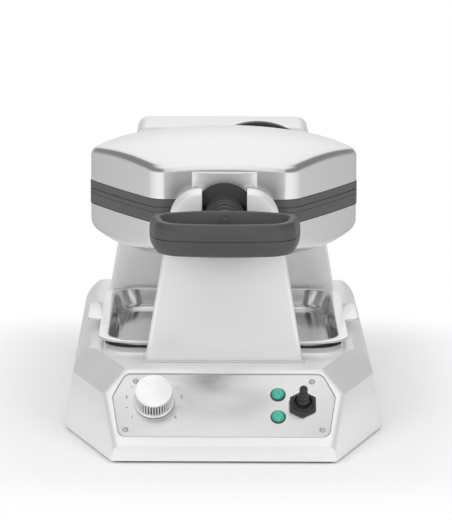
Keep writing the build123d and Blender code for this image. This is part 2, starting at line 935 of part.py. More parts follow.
# Trunnion halves, neck and handle
def trunnion_half(sign, keep):
    """One half of the front trunnion, with its flange and the tang that sits in the rim."""
    tang_back = flange_back + seat_gap + rim_band_width
    with BuildPart() as half:
        rods(facing(flange_back), [(0, 0)], trunnion_radius, flange_back - trunnion_front)
        rods(facing(tang_back), [(0, 0)], trunnion_tang_radius, tang_back - flange_back)
        split(bisect_by=Plane.XY.offset(axis_up + sign * trunnion_split), keep=keep)
        with BuildSketch(facing(flange_back)):
            Circle(flange_radius)
            with Locations((0, sign * (flange_edge - flange_radius))):
                Rectangle(2 * flange_radius, 2 * flange_radius, mode=Mode.SUBTRACT)
        extrude(amount=flange_back - flange_front)
    return half


upper_half = trunnion_half(1, Keep.TOP)
with BuildPart() as upper_trunnion:
    add(upper_half.part)
    rods(facing(trunnion_front + bolt_grip), [(0, bolt_rise)], bolt_radius, bolt_grip, mode=Mode.SUBTRACT)
save(upper_trunnion, "upper_trunnion")

lower_trunnion = trunnion_half(-1, Keep.BOTTOM)
save(lower_trunnion, "lower_trunnion")

with BuildPart() as handle_neck:
    ring_back = trunnion_front
    for ring_radius, ring_share in zip(neck_radii, neck_length_shares):
        ring_length = neck_length * ring_share
        rods(facing(ring_back), [(0, 0)], ring_radius, ring_length)
        ring_back -= ring_length
    rods(
        facing(trunnion_front),
        [(0, bolt_rise)],
        bolt_radius + bolt_clearance,
        trunnion_front - neck_front,
        mode=Mode.SUBTRACT,
    )
save(handle_neck, "handle_neck")

handle_side_place = (handle_half_width, handle_back - handle_shoulder_drop)
handle_corner_place = (handle_front_half, handle_front + handle_front_bow)
handle_shoulder_place = (handle_shoulder_half, handle_back)
handle_rounds = (
    (handle_side_place, handle_side_round),
    (handle_corner_place, handle_front_round),
    (handle_shoulder_place, handle_shoulder_round),
)
bolt_seat = handle_back - handle_bar + bolt_head_height
with BuildPart() as handle_block:
    with BuildSketch(Plane.XY.offset(handle_low)) as handle_plan:
        with BuildLine():
            ThreePointArc(
                (-handle_corner_place[0], handle_corner_place[1]),
                (0, handle_front),
                handle_corner_place,
            )
            Polyline(
                handle_corner_place,
                handle_side_place,
                handle_shoulder_place,
                (-handle_shoulder_place[0], handle_shoulder_place[1]),
                (-handle_side_place[0], handle_side_place[1]),
                (-handle_corner_place[0], handle_corner_place[1]),
            )
        make_face()
        for (corner_x, corner_y), corner_radius in handle_rounds:
            for sign in (-1, 1):
                corner = handle_plan.vertices().sort_by_distance((sign * corner_x, corner_y))[0]
                fillet(corner, corner_radius)
        offset(amount=-handle_bar, mode=Mode.SUBTRACT)
    extrude(amount=handle_height)
    handle_ends = handle_block.faces().filter_by(Axis.Z)
    fillet(handle_ends.edges(), handle_edge_round)
    rods(facing(neck_front), [(0, 0)], handle_boss_radius, neck_front - handle_back + handle_bar / 2)
    rods(
        facing(neck_front),
        [(0, bolt_rise)],
        bolt_radius + bolt_clearance,
        neck_front - handle_back + handle_bar + cut_overrun,
        mode=Mode.SUBTRACT,
    )
    rods(
        facing(bolt_seat),
        [(0, bolt_rise)],
        bolt_head_radius + bolt_clearance,
        bolt_head_height + cut_overrun,
        mode=Mode.SUBTRACT,
    )

for shell_name, shell_sign, shell_keep in (
    ("handle_upper_shell", 1, Keep.TOP),
    ("handle_lower_shell", -1, Keep.BOTTOM),
):
    with BuildPart() as handle_shell:
        add(handle_block.part)
        split(bisect_by=Plane.XY.offset(handle_middle + shell_sign * trunnion_split), keep=shell_keep)
    save(handle_shell, shell_name)

with BuildPart() as handle_bolt:
    rods(facing(bolt_seat), [(0, bolt_rise)], bolt_head_radius, bolt_head_height)
    rods(
        facing(trunnion_front + bolt_grip),
        [(0, bolt_rise)],
        bolt_radius,
        trunnion_front + bolt_grip - bolt_seat,
    )
save(handle_bolt, "handle_bolt")


# Cooking head
def head_slab(side, low, high, inset, mode=Mode.ADD):
    """A six-sided slab with gently bowed sides, measured from the seam up or down."""
    reach = head_corner_radius - inset / corner_share
    middle = reach * corner_share + head_side_bulge
    with BuildSketch(Plane.XY.offset(axis_up + side * low)) as outline:
        with BuildLine():
            for index in range(6):
                turns = [math.radians(60 * index + step) for step in (0, 30, 60)]
                reaches = (reach, middle, reach)
                points = [
                    (far * math.cos(turn), head_centre + far * math.sin(turn))
                    for far, turn in zip(reaches, turns)
                ]
                ThreePointArc(*points)
        make_face()
        fillet(outline.vertices(), max(head_corner_round - inset, head_least_round))
    extrude(outline.sketch, amount=side * (high - low), mode=mode)


def head_block(side, low, apex, dome_radius, inset, edge_round):
    """A six-sided block under a shallow dome, with a rounded edge."""
    with BuildPart() as block:
        head_slab(side, low, apex, inset)
        with Locations((0, head_centre, axis_up + side * (apex - dome_radius))):
            Sphere(dome_radius - inset, mode=Mode.INTERSECT)
        crown = block.faces().filter_by(GeomType.SPHERE)
        fillet(crown.edges(), edge_round)
    return block


screw_circle_places = [
    (
        plate_screw_circle * math.cos(2 * math.pi * index / plate_screws),
        head_centre + plate_screw_circle * math.sin(2 * math.pi * index / plate_screws),
    )
    for index in range(plate_screws)
]
lid_low = rim_height_upper + rim_gap
lower_low = rim_height_lower + rim_gap
lid_outer = head_block(1, lid_low, lid_apex, lid_dome, 0, lid_edge_round)
lid_inner = head_block(1, lid_low, lid_apex, lid_dome, cover_sheet, lid_edge_round - cover_sheet)
lower_outer = head_block(-1, lower_low, lower_apex, lower_dome, 0, lower_edge_round)
lower_inner = head_block(-1, lower_low, lower_apex, lower_dome, cover_sheet, lower_edge_round - cover_sheet)
lid_screw_places = [(sign * lid_screw_spread, lid_screw_rise) for sign in (-1, 1)]
cover_screw_places = [(sign * bracket_screw_spread, -bracket_screw_drop) for sign in (-1, 1)]
rim_screw_places = [(sign * bracket_screw_spread, -rim_screw_drop) for sign in (-1, 1)]
pad_back = head_back - cover_sheet
bracket_screw_end = pad_back - screw_pad_depth
bracket_screw_bury = head_back - bracket_screw_end

with BuildPart() as lid_cover:
    add(lid_outer.part)
    with BuildSketch(Plane.XY.offset(axis_up + lid_low)):
        with BuildLine():
            ThreePointArc(
                (-boss_panel_half, head_front - boss_panel_edge),
                (0, head_front - boss_panel_proud),
                (boss_panel_half, head_front - boss_panel_edge),
            )
            Polyline(
                (boss_panel_half, head_front - boss_panel_edge),
                (boss_panel_half, head_front + cover_sheet),
                (-boss_panel_half, head_front + cover_sheet),
                (-boss_panel_half, head_front - boss_panel_edge),
            )
        make_face()
    extrude(amount=boss_panel_top - lid_low)
    add(lid_inner.part, mode=Mode.SUBTRACT)
    rods(facing(head_front), [(0, 0)], flange_radius + flange_pocket_gap, cut_overrun, mode=Mode.SUBTRACT)
    bars(
        facing(pad_back),
        [(0, lid_screw_rise)],
        2 * (lid_screw_spread + screw_pad_margin),
        2 * bracket_screw_head,
        screw_pad_depth,
    )
    rods(facing(head_back), lid_screw_places, bracket_screw_radius, bracket_screw_bury, mode=Mode.SUBTRACT)
save(lid_cover, "lid_cover")

with BuildPart() as lower_cover:
    add(lower_outer.part)
    add(lower_inner.part, mode=Mode.SUBTRACT)
    bars(
        facing(pad_back),
        cover_screw_places,
        2 * screw_pad_margin,
        2 * bracket_screw_head,
        screw_pad_depth,
    )
    rods(facing(head_back), cover_screw_places, bracket_screw_radius, bracket_screw_bury, mode=Mode.SUBTRACT)
save(lower_cover, "lower_cover")


def rim(side, height):
    """The moulded rim of one half, with the ledge that carries its cooking plate."""
    with BuildPart() as ring:
        head_slab(side, trunnion_split, height, 0)
        head_slab(side, height, ledge_high, cover_sheet + rim_tongue_gap)
        head_slab(side, trunnion_split, ledge_low, rim_band_width, mode=Mode.SUBTRACT)
        head_slab(side, ledge_low, ledge_high, rim_ledge_width, mode=Mode.SUBTRACT)
        rods(
            facing(head_front + rim_band_width),
            [(0, 0)],
            trunnion_tang_radius + trunnion_clearance,
            rim_band_width + cut_overrun,
            mode=Mode.SUBTRACT,
        )
        rods(
            Plane.XY.offset(axis_up + side * ledge_low),
            screw_circle_places,
            plate_screw_radius,
            side * rim_ledge_thickness,
            mode=Mode.SUBTRACT,
        )
    return ring


with BuildPart() as rim_groove:
    head_slab(1, rim_groove_place, rim_groove_place + rim_groove_height, -cut_overrun)
    head_slab(1, rim_groove_place, rim_groove_place + rim_groove_height, rim_groove_depth, mode=Mode.SUBTRACT)

upper_rim = rim(1, rim_height_upper)
with BuildPart() as lid_rim:
    add(upper_rim.part)
    add(rim_groove.part, mode=Mode.SUBTRACT)
save(lid_rim, "lid_rim")

plain_rim = rim(-1, rim_height_lower)
with BuildPart() as lower_rim:
    add(plain_rim.part)
    rods(facing(head_back), rim_screw_places, bracket_screw_radius, bracket_screw_bury, mode=Mode.SUBTRACT)
save(lower_rim, "lower_rim")

# Cooking plates: a shallow web with rings of round cups
cup_ball = (cup_mouth_radius**2 + cup_depth**2) / (2 * cup_depth)
cup_cells = [
    (column, row)
    for column in range(-cup_rings, cup_rings + 1)
    for row in range(-cup_rings, cup_rings + 1)
    if abs(column + row) <= cup_rings
]
cup_places = [
    (cup_pitch * (column + row / 2), head_centre + cup_pitch * row * corner_share)
    for column, row in cup_cells
]

for half_name, side in (("upper", 1), ("lower", -1)):
    with BuildPart() as cooking_plate:
        head_slab(side, trunnion_split, plate_back, plate_inset)
        head_slab(side, trunnion_split, web_depth, plate_inset + plate_border, mode=Mode.SUBTRACT)
        cup_height = axis_up + side * (web_depth + cup_depth - cup_ball)
        with Locations(*[(x, y, cup_height) for x, y in cup_places]):
            Sphere(cup_ball, mode=Mode.SUBTRACT)
        rods(
            Plane.XY.offset(axis_up + side * plate_back),
            screw_circle_places,
            plate_screw_radius,
            -side * plate_screw_bury,
            mode=Mode.SUBTRACT,
        )
    save(cooking_plate, half_name + "_cooking_plate")

    with BuildPart() as plate_fixings:
        rods(
            Plane.XY.offset(axis_up + side * ledge_high),
            screw_circle_places,
            plate_screw_head,
            side * plate_screw_head_height,
        )
        rods(
            Plane.XY.offset(axis_up + side * ledge_high),
            screw_circle_places,
            plate_screw_radius,
            -side * (ledge_high - plate_back + plate_screw_bury),
        )
    save(plate_fixings, half_name + "_plate_screws")

    heater_level = plate_back + seat_gap + heater_tube_radius
    gap_turn = math.radians(heater_gap_angle)
    lead_places = [
        (heater_ring_radius, head_centre),
        (heater_ring_radius * math.cos(gap_turn), head_centre - heater_ring_radius * math.sin(gap_turn)),
    ]
    with BuildPart() as heating_element:
        with BuildSketch(Plane(origin=(0, head_centre, axis_up), x_dir=(1, 0, 0), z_dir=(0, -1, 0))):
            with Locations((heater_ring_radius, side * heater_level)):
                Circle(heater_tube_radius)
        revolve(axis=Axis((0, head_centre, 0), (0, 0, 1)), revolution_arc=360 - heater_gap_angle)
        rods(
            Plane.XY.offset(axis_up + side * heater_level),
            lead_places,
            heater_lead_radius,
            side * heater_lead_length,
        )
    save(heating_element, half_name + "_heating_element")

    with BuildPart() as insulation_pad:
        head_slab(side, pad_low, pad_low + pad_thickness, pad_inset)
        rods(
            Plane.XY.offset(axis_up + side * pad_low),
            lead_places,
            heater_lead_radius + heater_lead_gap,
            side * pad_thickness,
            mode=Mode.SUBTRACT,
        )
    save(insulation_pad, half_name + "_insulation_pad")

    with BuildPart() as heat_sensor:
        rods(
            Plane.XY.offset(axis_up + side * plate_back),
            [(0, head_centre)],
            sensor_radius,
            side * sensor_height,
        )
    save(heat_sensor, half_name + "_heat_sensor")

# Rear hinge
lid_knuckle_outer = lower_knuckle_inner - knuckle_gap


def knuckles(inner, outer, radius, mode=Mode.ADD):
    """A pair of round hinge knuckles, or their bore, on the hinge axis."""
    for start in (-outer, inner):
        rods(sideways(start, hinge_place_y, hinge_up), [(0, 0)], radius, outer - inner, mode=mode)


with BuildPart() as hinge_bracket:
    bars(
        facing(bracket_back),
        [(0, (bracket_shoulder - bracket_foot) / 2)],
        2 * bracket_half,
        bracket_foot + bracket_shoulder,
        bracket_back - bracket_front,
    )
    bars(
        facing(bracket_back),
        [(sign * (lower_knuckle_inner + lower_knuckle_outer) / 2, hinge_above_axis / 2) for sign in (-1, 1)],
        lower_knuckle_outer - lower_knuckle_inner,
        hinge_above_axis,
        bracket_back - bracket_front,
    )
    knuckles(lower_knuckle_inner, lower_knuckle_outer, knuckle_radius)
    knuckles(lower_knuckle_inner, lower_knuckle_outer, hinge_pin_radius, mode=Mode.SUBTRACT)
    rods(facing(bracket_back), [(0, 0)], hub_bore_radius, bracket_back - bracket_front, mode=Mode.SUBTRACT)
    rods(
        facing(bracket_back),
        cover_screw_places + rim_screw_places,
        bracket_screw_radius,
        bracket_back - bracket_front,
        mode=Mode.SUBTRACT,
    )
save(hinge_bracket, "hinge_bracket")

lid_bracket_back = bracket_front + lid_bracket_thickness
with BuildPart() as lid_hinge_bracket:
    bars(
        facing(lid_bracket_back),
        [(0, (lid_bracket_low + lid_bracket_high) / 2)],
        2 * lid_knuckle_outer,
        lid_bracket_high - lid_bracket_low,
        lid_bracket_thickness,
    )
    knuckles(lid_knuckle_inner, lid_knuckle_outer, knuckle_radius)
    knuckles(lid_knuckle_inner, lid_knuckle_outer, hinge_pin_radius + hinge_clearance, mode=Mode.SUBTRACT)
    rods(
        facing(hinge_place_y + 2 * knuckle_radius),
        [(0, 0)],
        hub_clearance_radius,
        4 * knuckle_radius,
        mode=Mode.SUBTRACT,
    )
    rods(
        facing(lid_bracket_back),
        lid_screw_places,
        bracket_screw_radius,
        lid_bracket_thickness,
        mode=Mode.SUBTRACT,
    )
save(lid_hinge_bracket, "lid_hinge_bracket")

with BuildPart() as hinge_pins:
    knuckles(lid_knuckle_inner, lower_knuckle_outer, hinge_pin_radius)
    knuckles(lower_knuckle_outer, lower_knuckle_outer + pin_head_height, pin_head_radius)
save(hinge_pins, "hinge_pins")

for screws_name, screws_places, screws_seat in (
    ("hinge_bracket_screws", cover_screw_places + rim_screw_places, bracket_back),
    ("lid_bracket_screws", lid_screw_places, lid_bracket_back),
):
    with BuildPart() as bracket_fixings:
        head_plane = facing(screws_seat + bracket_screw_head_height)
        rods(head_plane, screws_places, bracket_screw_head, bracket_screw_head_height)
        rods(facing(screws_seat), screws_places, bracket_screw_radius, screws_seat - bracket_screw_end)
    save(bracket_fixings, screws_name)

# Hub shaft, bush, bearing housing and end stop
hub_end = collar_back + hub_tail
with BuildPart() as hub_shaft:
    rods(facing(bracket_back + hub_flange_thickness), [(0, 0)], hub_flange_radius, hub_flange_thickness)
    rods(facing(hub_end), [(0, 0)], hub_radius, hub_end - bracket_back)
    rods(facing(hub_end), [(0, 0)], hub_bore_radius, hub_end - bracket_back, mode=Mode.SUBTRACT)
save(hub_shaft, "hub_shaft")

with BuildPart() as hub_bush:
    rods(facing(bearing_end), [(0, 0)], bush_outer, bearing_length)
    rods(facing(bearing_seat), [(0, 0)], bush_outer + bush_flange, bush_flange_thickness)
    rods(
        facing(bearing_end),
        [(0, 0)],
        hub_radius + bush_clearance,
        bearing_length + bush_flange_thickness,
        mode=Mode.SUBTRACT,
    )
save(hub_bush, "hub_bush")

bearing_screw_place = bearing_screw_circle * math.cos(math.radians(45))
bearing_screw_places = [
    (side * bearing_screw_place, end * bearing_screw_place)
    for side in (-1, 1)
    for end in (-1, 1)
]
with BuildPart() as bearing_housing:
    rounded(
        facing(bearing_seat + bearing_flange_thickness),
        (0, 0),
        2 * bearing_flange_half,
        2 * bearing_flange_half,
        bearing_flange_round,
        bearing_flange_thickness,
    )
    rods(facing(bearing_end), [(0, 0)], bearing_outer, bearing_length)
    rods(facing(bearing_end), [(0, 0)], bush_outer + bush_clearance, bearing_length, mode=Mode.SUBTRACT)
    rods(
        facing(bearing_seat + bearing_flange_thickness),
        bearing_screw_places,
        bearing_screw_radius,
        bearing_flange_thickness,
        mode=Mode.SUBTRACT,
    )
    rods(facing(collar_back), [(0, -stop_peg_circle)], stop_peg_radius, collar_back - bearing_end)
save(bearing_housing, "bearing_housing")

with BuildPart() as bearing_screws:
    rods(facing(rear_front), bearing_screw_places, bearing_screw_head, bearing_screw_head_height)
    rods(
        facing(rear_front),
        bearing_screw_places,
        bearing_screw_radius,
        -rear_wall - bearing_flange_thickness,
    )
save(bearing_screws, "bearing_screws")

collar_outer = hub_radius + collar_wall
stop_outer = collar_outer + stop_reach
stop_half_angle = math.radians(90 - stop_free_angle)
with BuildPart() as stop_collar:
    with BuildSketch(facing(collar_back)):
        Circle(stop_outer)
        Polygon(
            (0, 0),
            (2 * stop_outer * math.cos(stop_half_angle), 2 * stop_outer * math.sin(stop_half_angle)),
            (-2 * stop_outer, 2 * stop_outer),
            (-2 * stop_outer, -2 * stop_outer),
            (2 * stop_outer * math.cos(stop_half_angle), -2 * stop_outer * math.sin(stop_half_angle)),
            align=None,
            mode=Mode.SUBTRACT,
        )
        Circle(collar_outer)
        Circle(hub_radius, mode=Mode.SUBTRACT)
    extrude(amount=collar_length)
save(stop_collar, "stop_collar")


# Rear support
def rear_half(height):
    """Half the width of the rear support at a height."""
    return rear_foot_half - rear_lean_share * (height - deck_top)


def rear_block(place_y, depth, inset, low, mode=Mode.ADD):
    """A slice of the tapering rear support, or of the room inside it."""
    high = rear_top - inset
    with BuildSketch(facing(place_y, 0)) as outline:
        Polygon(
            (-rear_half(low) + inset, low),
            (rear_half(low) - inset, low),
            (rear_half(high) - inset, high),
            (-rear_half(high) + inset, high),
            align=None,
        )
        fillet(outline.vertices().group_by(Axis.Y)[-1], rear_round - inset)
    extrude(outline.sketch, amount=depth, mode=mode)


post_levels = (deck_top + rear_post_rise, rear_top - rear_post_rise)
rear_post_places = [
    (sign * (rear_half(level) - rear_post_inset), level)
    for sign in (-1, 1)
    for level in post_levels
]
rear_cover_front = rear_back - rear_cover_thickness
with BuildPart() as rear_support:
    rear_block(rear_back, rear_depth, 0, deck_top)
    rear_block(rear_back, rear_depth - rear_wall, rear_wall, deck_top, mode=Mode.SUBTRACT)
    rods(
        facing(rear_cover_front, 0),
        rear_post_places,
        rear_post_radius,
        rear_cover_front - bearing_seat + rear_wall / 2,
    )
    bars(Plane.XY.offset(deck_top), lug_screw_places, rear_lug_width, rear_lug_depth, rear_lug_height)
    rods(facing(rear_cover_front, 0), rear_post_places, rear_post_hole, rear_screw_length, mode=Mode.SUBTRACT)
    rods(Plane.XY.offset(deck_top), lug_screw_places, leg_screw_radius, rear_lug_height, mode=Mode.SUBTRACT)
    rods(facing(bearing_seat), [(0, 0)], bush_outer + bush_flange + seat_gap, rear_wall, mode=Mode.SUBTRACT)
    rods(facing(bearing_seat), bearing_screw_places, bearing_screw_radius, rear_wall, mode=Mode.SUBTRACT)
save(rear_support, "rear_support")

with BuildPart() as rear_support_cover:
    rear_block(rear_back, rear_cover_thickness, rear_wall + rear_cover_fit, deck_top + rear_cover_fit)
    rods(facing(rear_back, 0), rear_post_places, rear_post_hole, rear_cover_thickness, mode=Mode.SUBTRACT)
save(rear_support_cover, "rear_support_cover")

# Screws that share a size: the leg and the rear support, then the covers and the feet
with BuildPart() as support_screws:
    rods(
        Plane.XY.offset(deck_under),
        leg_screw_places + lug_screw_places,
        leg_screw_head,
        -leg_screw_head_height,
    )
    rods(
        Plane.XY.offset(deck_under),
        leg_screw_places,
        leg_screw_radius,
        deck_thickness + leg_pad_height + leg_screw_grip,
    )
    rods(Plane.XY.offset(deck_under), lug_screw_places, leg_screw_radius, deck_thickness + rear_lug_height)
save(support_screws, "support_screws")

with BuildPart() as cover_screws:
    rods(Plane.XY.offset(cover_low), post_places, screw_head_radius, -screw_head_height)
    rods(Plane.XY.offset(cover_low), post_places, post_hole_radius, cover_thickness + post_hole_depth)
    rods(Plane.XY.offset(foot_hole_depth), foot_places, screw_head_radius, -screw_head_height)
    rods(
        Plane.XY.offset(foot_hole_depth),
        foot_places,
        post_hole_radius,
        cover_top + foot_nut_height - foot_hole_depth,
    )
    rods(Plane.XY.offset(cover_top), foot_places, screw_head_radius, foot_nut_height)
    rods(facing(rear_back + screw_head_height, 0), rear_post_places, screw_head_radius, screw_head_height)
    rods(facing(rear_back, 0), rear_post_places, rear_post_hole, rear_cover_thickness + rear_screw_length)
save(cover_screws, "cover_screws")

with BuildPart() as wiring_guard:
    with BuildSketch(facing(rear_front)) as guard_outline:
        with BuildLine():
            ThreePointArc(
                (guard_middle - guard_half, guard_top - guard_arc_drop),
                (guard_middle, guard_top),
                (guard_middle + guard_half, guard_top - guard_arc_drop),
            )
            Polyline(
                (guard_middle + guard_half, guard_top - guard_arc_drop),
                (guard_middle + guard_half, guard_low),
                (guard_middle - guard_half, guard_low),
                (guard_middle - guard_half, guard_top - guard_arc_drop),
            )
        make_face()
    extrude(amount=guard_reach)
    with BuildSketch(facing(rear_front)):
        add(guard_outline.sketch_local)
        offset(amount=-guard_wall, mode=Mode.REPLACE)
    extrude(amount=guard_reach - guard_wall, mode=Mode.SUBTRACT)
    rods(facing(rear_front), [(0, 0)], hub_radius + guard_hub_gap, guard_reach, mode=Mode.SUBTRACT)
save(wiring_guard, "wiring_guard")

# Cord gland, control board and terminal block inside the base
gland_length = gland_reach + gland_inner_length
with BuildPart() as cord_gland:
    rods(facing(base_rear + gland_reach, gland_up), [(0, 0)], gland_radius, gland_length)
    rods(
        facing(gland_seat + gland_flange_thickness, gland_up),
        [(0, 0)],
        gland_flange_radius,
        gland_flange_thickness,
    )
    rods(
        facing(base_rear + gland_reach, gland_up),
        [(0, 0)],
        gland_bore_radius,
        gland_length,
        mode=Mode.SUBTRACT,
    )
save(cord_gland, "cord_gland")

with BuildPart() as cord_gland_nut:
    with BuildSketch(facing(gland_inner, gland_up)):
        RegularPolygon(gland_flange_radius, 6)
        Circle(gland_radius, mode=Mode.SUBTRACT)
    extrude(amount=gland_nut_thickness)
save(cord_gland_nut, "cord_gland_nut")

with BuildPart() as control_board:
    bars(Plane.XY.offset(board_low), [board_middle], board_width, board_length, board_thickness)
    bars(
        Plane.XY.offset(board_low + board_thickness),
        [(relay_place, board_middle[1])],
        relay_size,
        relay_size,
        relay_height,
    )
    rods(
        Plane.XY.offset(board_low + board_thickness),
        [(-relay_place, board_middle[1])],
        buzzer_radius,
        buzzer_height,
    )
save(control_board, "control_board")

terminal_pitch = terminal_width / terminal_poles
with BuildPart() as terminal_block:
    bars(
        Plane.XY.offset(cover_top),
        [(0, base_rear - terminal_inset)],
        terminal_width,
        terminal_length,
        terminal_height,
    )
    with BuildSketch(Plane.XY.offset(cover_top + terminal_height)):
        with Locations((0, base_rear - terminal_inset)):
            with GridLocations(terminal_pitch, terminal_length / 2, terminal_poles, 2):
                Circle(terminal_hole_radius)
    extrude(amount=-terminal_height / 2, mode=Mode.SUBTRACT)
save(terminal_block, "terminal_block")

# Drip tray: a pan with a flat flange and an ear on each side
pan_low = tray_rim - tray_depth


def pan(shrink, low, mode=Mode.ADD):
    """The pan of the tray, or the room inside it, narrower at the bottom."""
    sections = []
    for height, draft in ((low, tray_draft_run), (tray_rim, 0)):
        with BuildSketch(Plane.XY.offset(height)) as section:
            with Locations(well_middle):
                RectangleRounded(
                    2 * (pan_half_width - draft - shrink),
                    2 * (pan_half_length - draft - shrink),
                    tray_corner_round - draft - shrink,
                )
        sections.append(section.sketch.face())
    loft(sections, mode=mode)


with BuildPart() as drip_tray:
    rounded(
        Plane.XY.offset(tray_underside),
        well_middle,
        tray_width,
        tray_length,
        tray_corner_round + tray_flange / 2,
        tray_flange_thickness,
    )
    rounded(
        Plane.XY.offset(tray_underside),
        (0, tray_middle + tray_ear_offset),
        tray_width + 2 * tray_ear_reach,
        tray_ear_length,
        tray_ear_round,
        tray_flange_thickness,
    )
    pan(0, pan_low)
    pan(tray_sheet, pan_low + tray_sheet, mode=Mode.SUBTRACT)
save(drip_tray, "drip_tray")
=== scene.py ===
import json
import math

import bmesh
import bpy
from mathutils import Matrix, Vector


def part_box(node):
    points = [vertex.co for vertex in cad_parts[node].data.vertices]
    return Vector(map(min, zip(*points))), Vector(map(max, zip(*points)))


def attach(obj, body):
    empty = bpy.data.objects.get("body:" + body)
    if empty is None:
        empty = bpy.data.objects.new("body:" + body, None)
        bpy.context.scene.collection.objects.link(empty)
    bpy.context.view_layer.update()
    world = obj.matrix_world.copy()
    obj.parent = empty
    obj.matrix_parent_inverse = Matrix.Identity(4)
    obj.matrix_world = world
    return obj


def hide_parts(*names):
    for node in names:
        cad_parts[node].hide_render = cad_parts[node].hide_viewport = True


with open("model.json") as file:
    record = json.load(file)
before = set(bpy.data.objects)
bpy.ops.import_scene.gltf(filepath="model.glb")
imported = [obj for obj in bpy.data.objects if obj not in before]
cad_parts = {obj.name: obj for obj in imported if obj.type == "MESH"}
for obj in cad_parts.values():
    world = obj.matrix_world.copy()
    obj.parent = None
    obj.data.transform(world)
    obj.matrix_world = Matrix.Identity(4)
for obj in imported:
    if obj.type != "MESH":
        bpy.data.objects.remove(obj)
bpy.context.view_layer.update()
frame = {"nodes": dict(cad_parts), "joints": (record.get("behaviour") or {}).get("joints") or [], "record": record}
print("frame loaded:", len(frame["nodes"]), "nodes")

joints = {joint["name"]: joint for joint in frame["joints"]}
turnAxisZ = joints["head_turn"]["pos_m"][2]
headCentreY = joints["head_turn"]["pos_m"][1]


# mesh helpers

near = 0.0001  # tells vertices at one level from the rest
levelGap = 0.001  # the same for rough levels
past = 0.01  # how far a cutter reaches past what it cuts


def blockMesh(low, high):
    bm = bmesh.new()
    bmesh.ops.create_cube(bm, size=1.0)
    low, high = Vector(low), Vector(high)
    bmesh.ops.scale(bm, vec=high - low, verts=bm.verts)
    bmesh.ops.translate(bm, vec=(low + high) / 2, verts=bm.verts)
    return bm


def trimMesh(bm, point, normal):  # cuts away what lies in front of a plane and closes the cut
    everything = bm.verts[:] + bm.edges[:] + bm.faces[:]
    cut = bmesh.ops.bisect_plane(bm, geom=everything, plane_co=point, plane_no=normal, clear_outer=True)
    rim = [item for item in cut["geom_cut"] if isinstance(item, bmesh.types.BMEdge)]
    bmesh.ops.holes_fill(bm, edges=rim, sides=0)


def bevelMesh(bm, picked, width, segments=3, kind="EDGES"):
    bmesh.ops.bevel(
        bm, geom=list(picked), offset=width, offset_type="OFFSET", segments=segments,
        profile=0.5, affect=kind, material=-1, clamp_overlap=True,
    )


def roundCorner(bm, vertex, radius, steps):  # rounds one corner of a flat outline
    first, second = (edge.other_vert(vertex).co - vertex.co for edge in vertex.link_edges)
    bevelMesh(bm, [vertex], radius / math.tan(first.angle(second) / 2), steps, "VERTICES")


def raiseFaces(bm, height):  # extrudes flat faces straight up and closes the block
    grown = bmesh.ops.extrude_face_region(bm, geom=bm.faces[:])
    lifted = [item for item in grown["geom"] if isinstance(item, bmesh.types.BMVert)]
    bmesh.ops.translate(bm, vec=(0, 0, height), verts=lifted)
    bmesh.ops.recalc_face_normals(bm, faces=bm.faces)
    return bm


def sharpEdges(bm, degrees):
    limit = math.radians(degrees)
    return [edge for edge in bm.edges if len(edge.link_faces) == 2 and edge.calc_face_angle(0) > limit]


def outlineMesh(corners, roundings, low, high, steps=8):  # a plate with rounded corners, from low to high
    bm = bmesh.new()
    ring = [bm.verts.new((x, y, low)) for x, y in corners]
    bm.faces.new(ring)
    for vertex, radius in zip(ring, roundings):
        if radius > 0:
            roundCorner(bm, vertex, radius, steps)
    return raiseFaces(bm, high - low)


def rectangle(width, length, centre=(0, 0)):
    cx, cy = centre
    return [
        (cx - width / 2, cy - length / 2), (cx + width / 2, cy - length / 2),
        (cx + width / 2, cy + length / 2), (cx - width / 2, cy + length / 2),
    ]


def turnedMesh(profile, steps=64):  # radius and height pairs, turned about Z
    bm = bmesh.new()
    line = [bm.verts.new((radius, 0, height)) for radius, height in profile]
    for first, second in zip(line, line[1:]):
        bm.edges.new((first, second))
    bmesh.ops.spin(
        bm, geom=bm.verts[:] + bm.edges[:], cent=(0, 0, 0), axis=(0, 0, 1), dvec=(0, 0, 0),
        angle=2 * math.pi, steps=steps, use_merge=True, use_duplicate=False,
    )
    bmesh.ops.remove_doubles(bm, verts=bm.verts, dist=1e-6)
    bmesh.ops.holes_fill(bm, edges=[edge for edge in bm.edges if edge.is_boundary], sides=0)
    bmesh.ops.recalc_face_normals(bm, faces=bm.faces)
    return bm


def placeMesh(bm, origin, direction, upward=(1, 0, 0)):  # turns local Z to direction and local X to upward
    zAxis = Vector(direction).normalized()
    xAxis = Vector(upward)
    xAxis = (xAxis - zAxis * xAxis.dot(zAxis)).normalized()
    turn = Matrix((xAxis, zAxis.cross(xAxis), zAxis)).transposed().to_4x4()
    bmesh.ops.transform(bm, matrix=Matrix.Translation(origin) @ turn, verts=bm.verts)
    return bm


def addMesh(bm, other):
    carrier = bpy.data.meshes.new("carrier")
    other.to_mesh(carrier)
    other.free()
    bm.from_mesh(carrier)
    bpy.data.meshes.remove(carrier)


def combineMesh(bm, tool, operation="DIFFERENCE"):  # a boolean of two closed meshes, made permanent
    pair = []
    for label, source in (("base", bm), ("tool", tool)):
        mesh = bpy.data.meshes.new(label)
        source.to_mesh(mesh)
        source.free()
        pair.append(bpy.data.objects.new(label, mesh))
        bpy.context.scene.collection.objects.link(pair[-1])
    cutter = pair[0].modifiers.new("cut", "BOOLEAN")
    cutter.object, cutter.operation, cutter.solver = pair[1], operation, "EXACT"
    graph = bpy.context.evaluated_depsgraph_get()
    result = bpy.data.meshes.new_from_object(pair[0].evaluated_get(graph))
    made = bmesh.new()
    made.from_mesh(result)
    for item in pair:
        mesh = item.data
        bpy.data.objects.remove(item)
        bpy.data.meshes.remove(mesh)
    bpy.data.meshes.remove(result)
    bmesh.ops.remove_doubles(made, verts=made.verts, dist=2e-6)
    return made


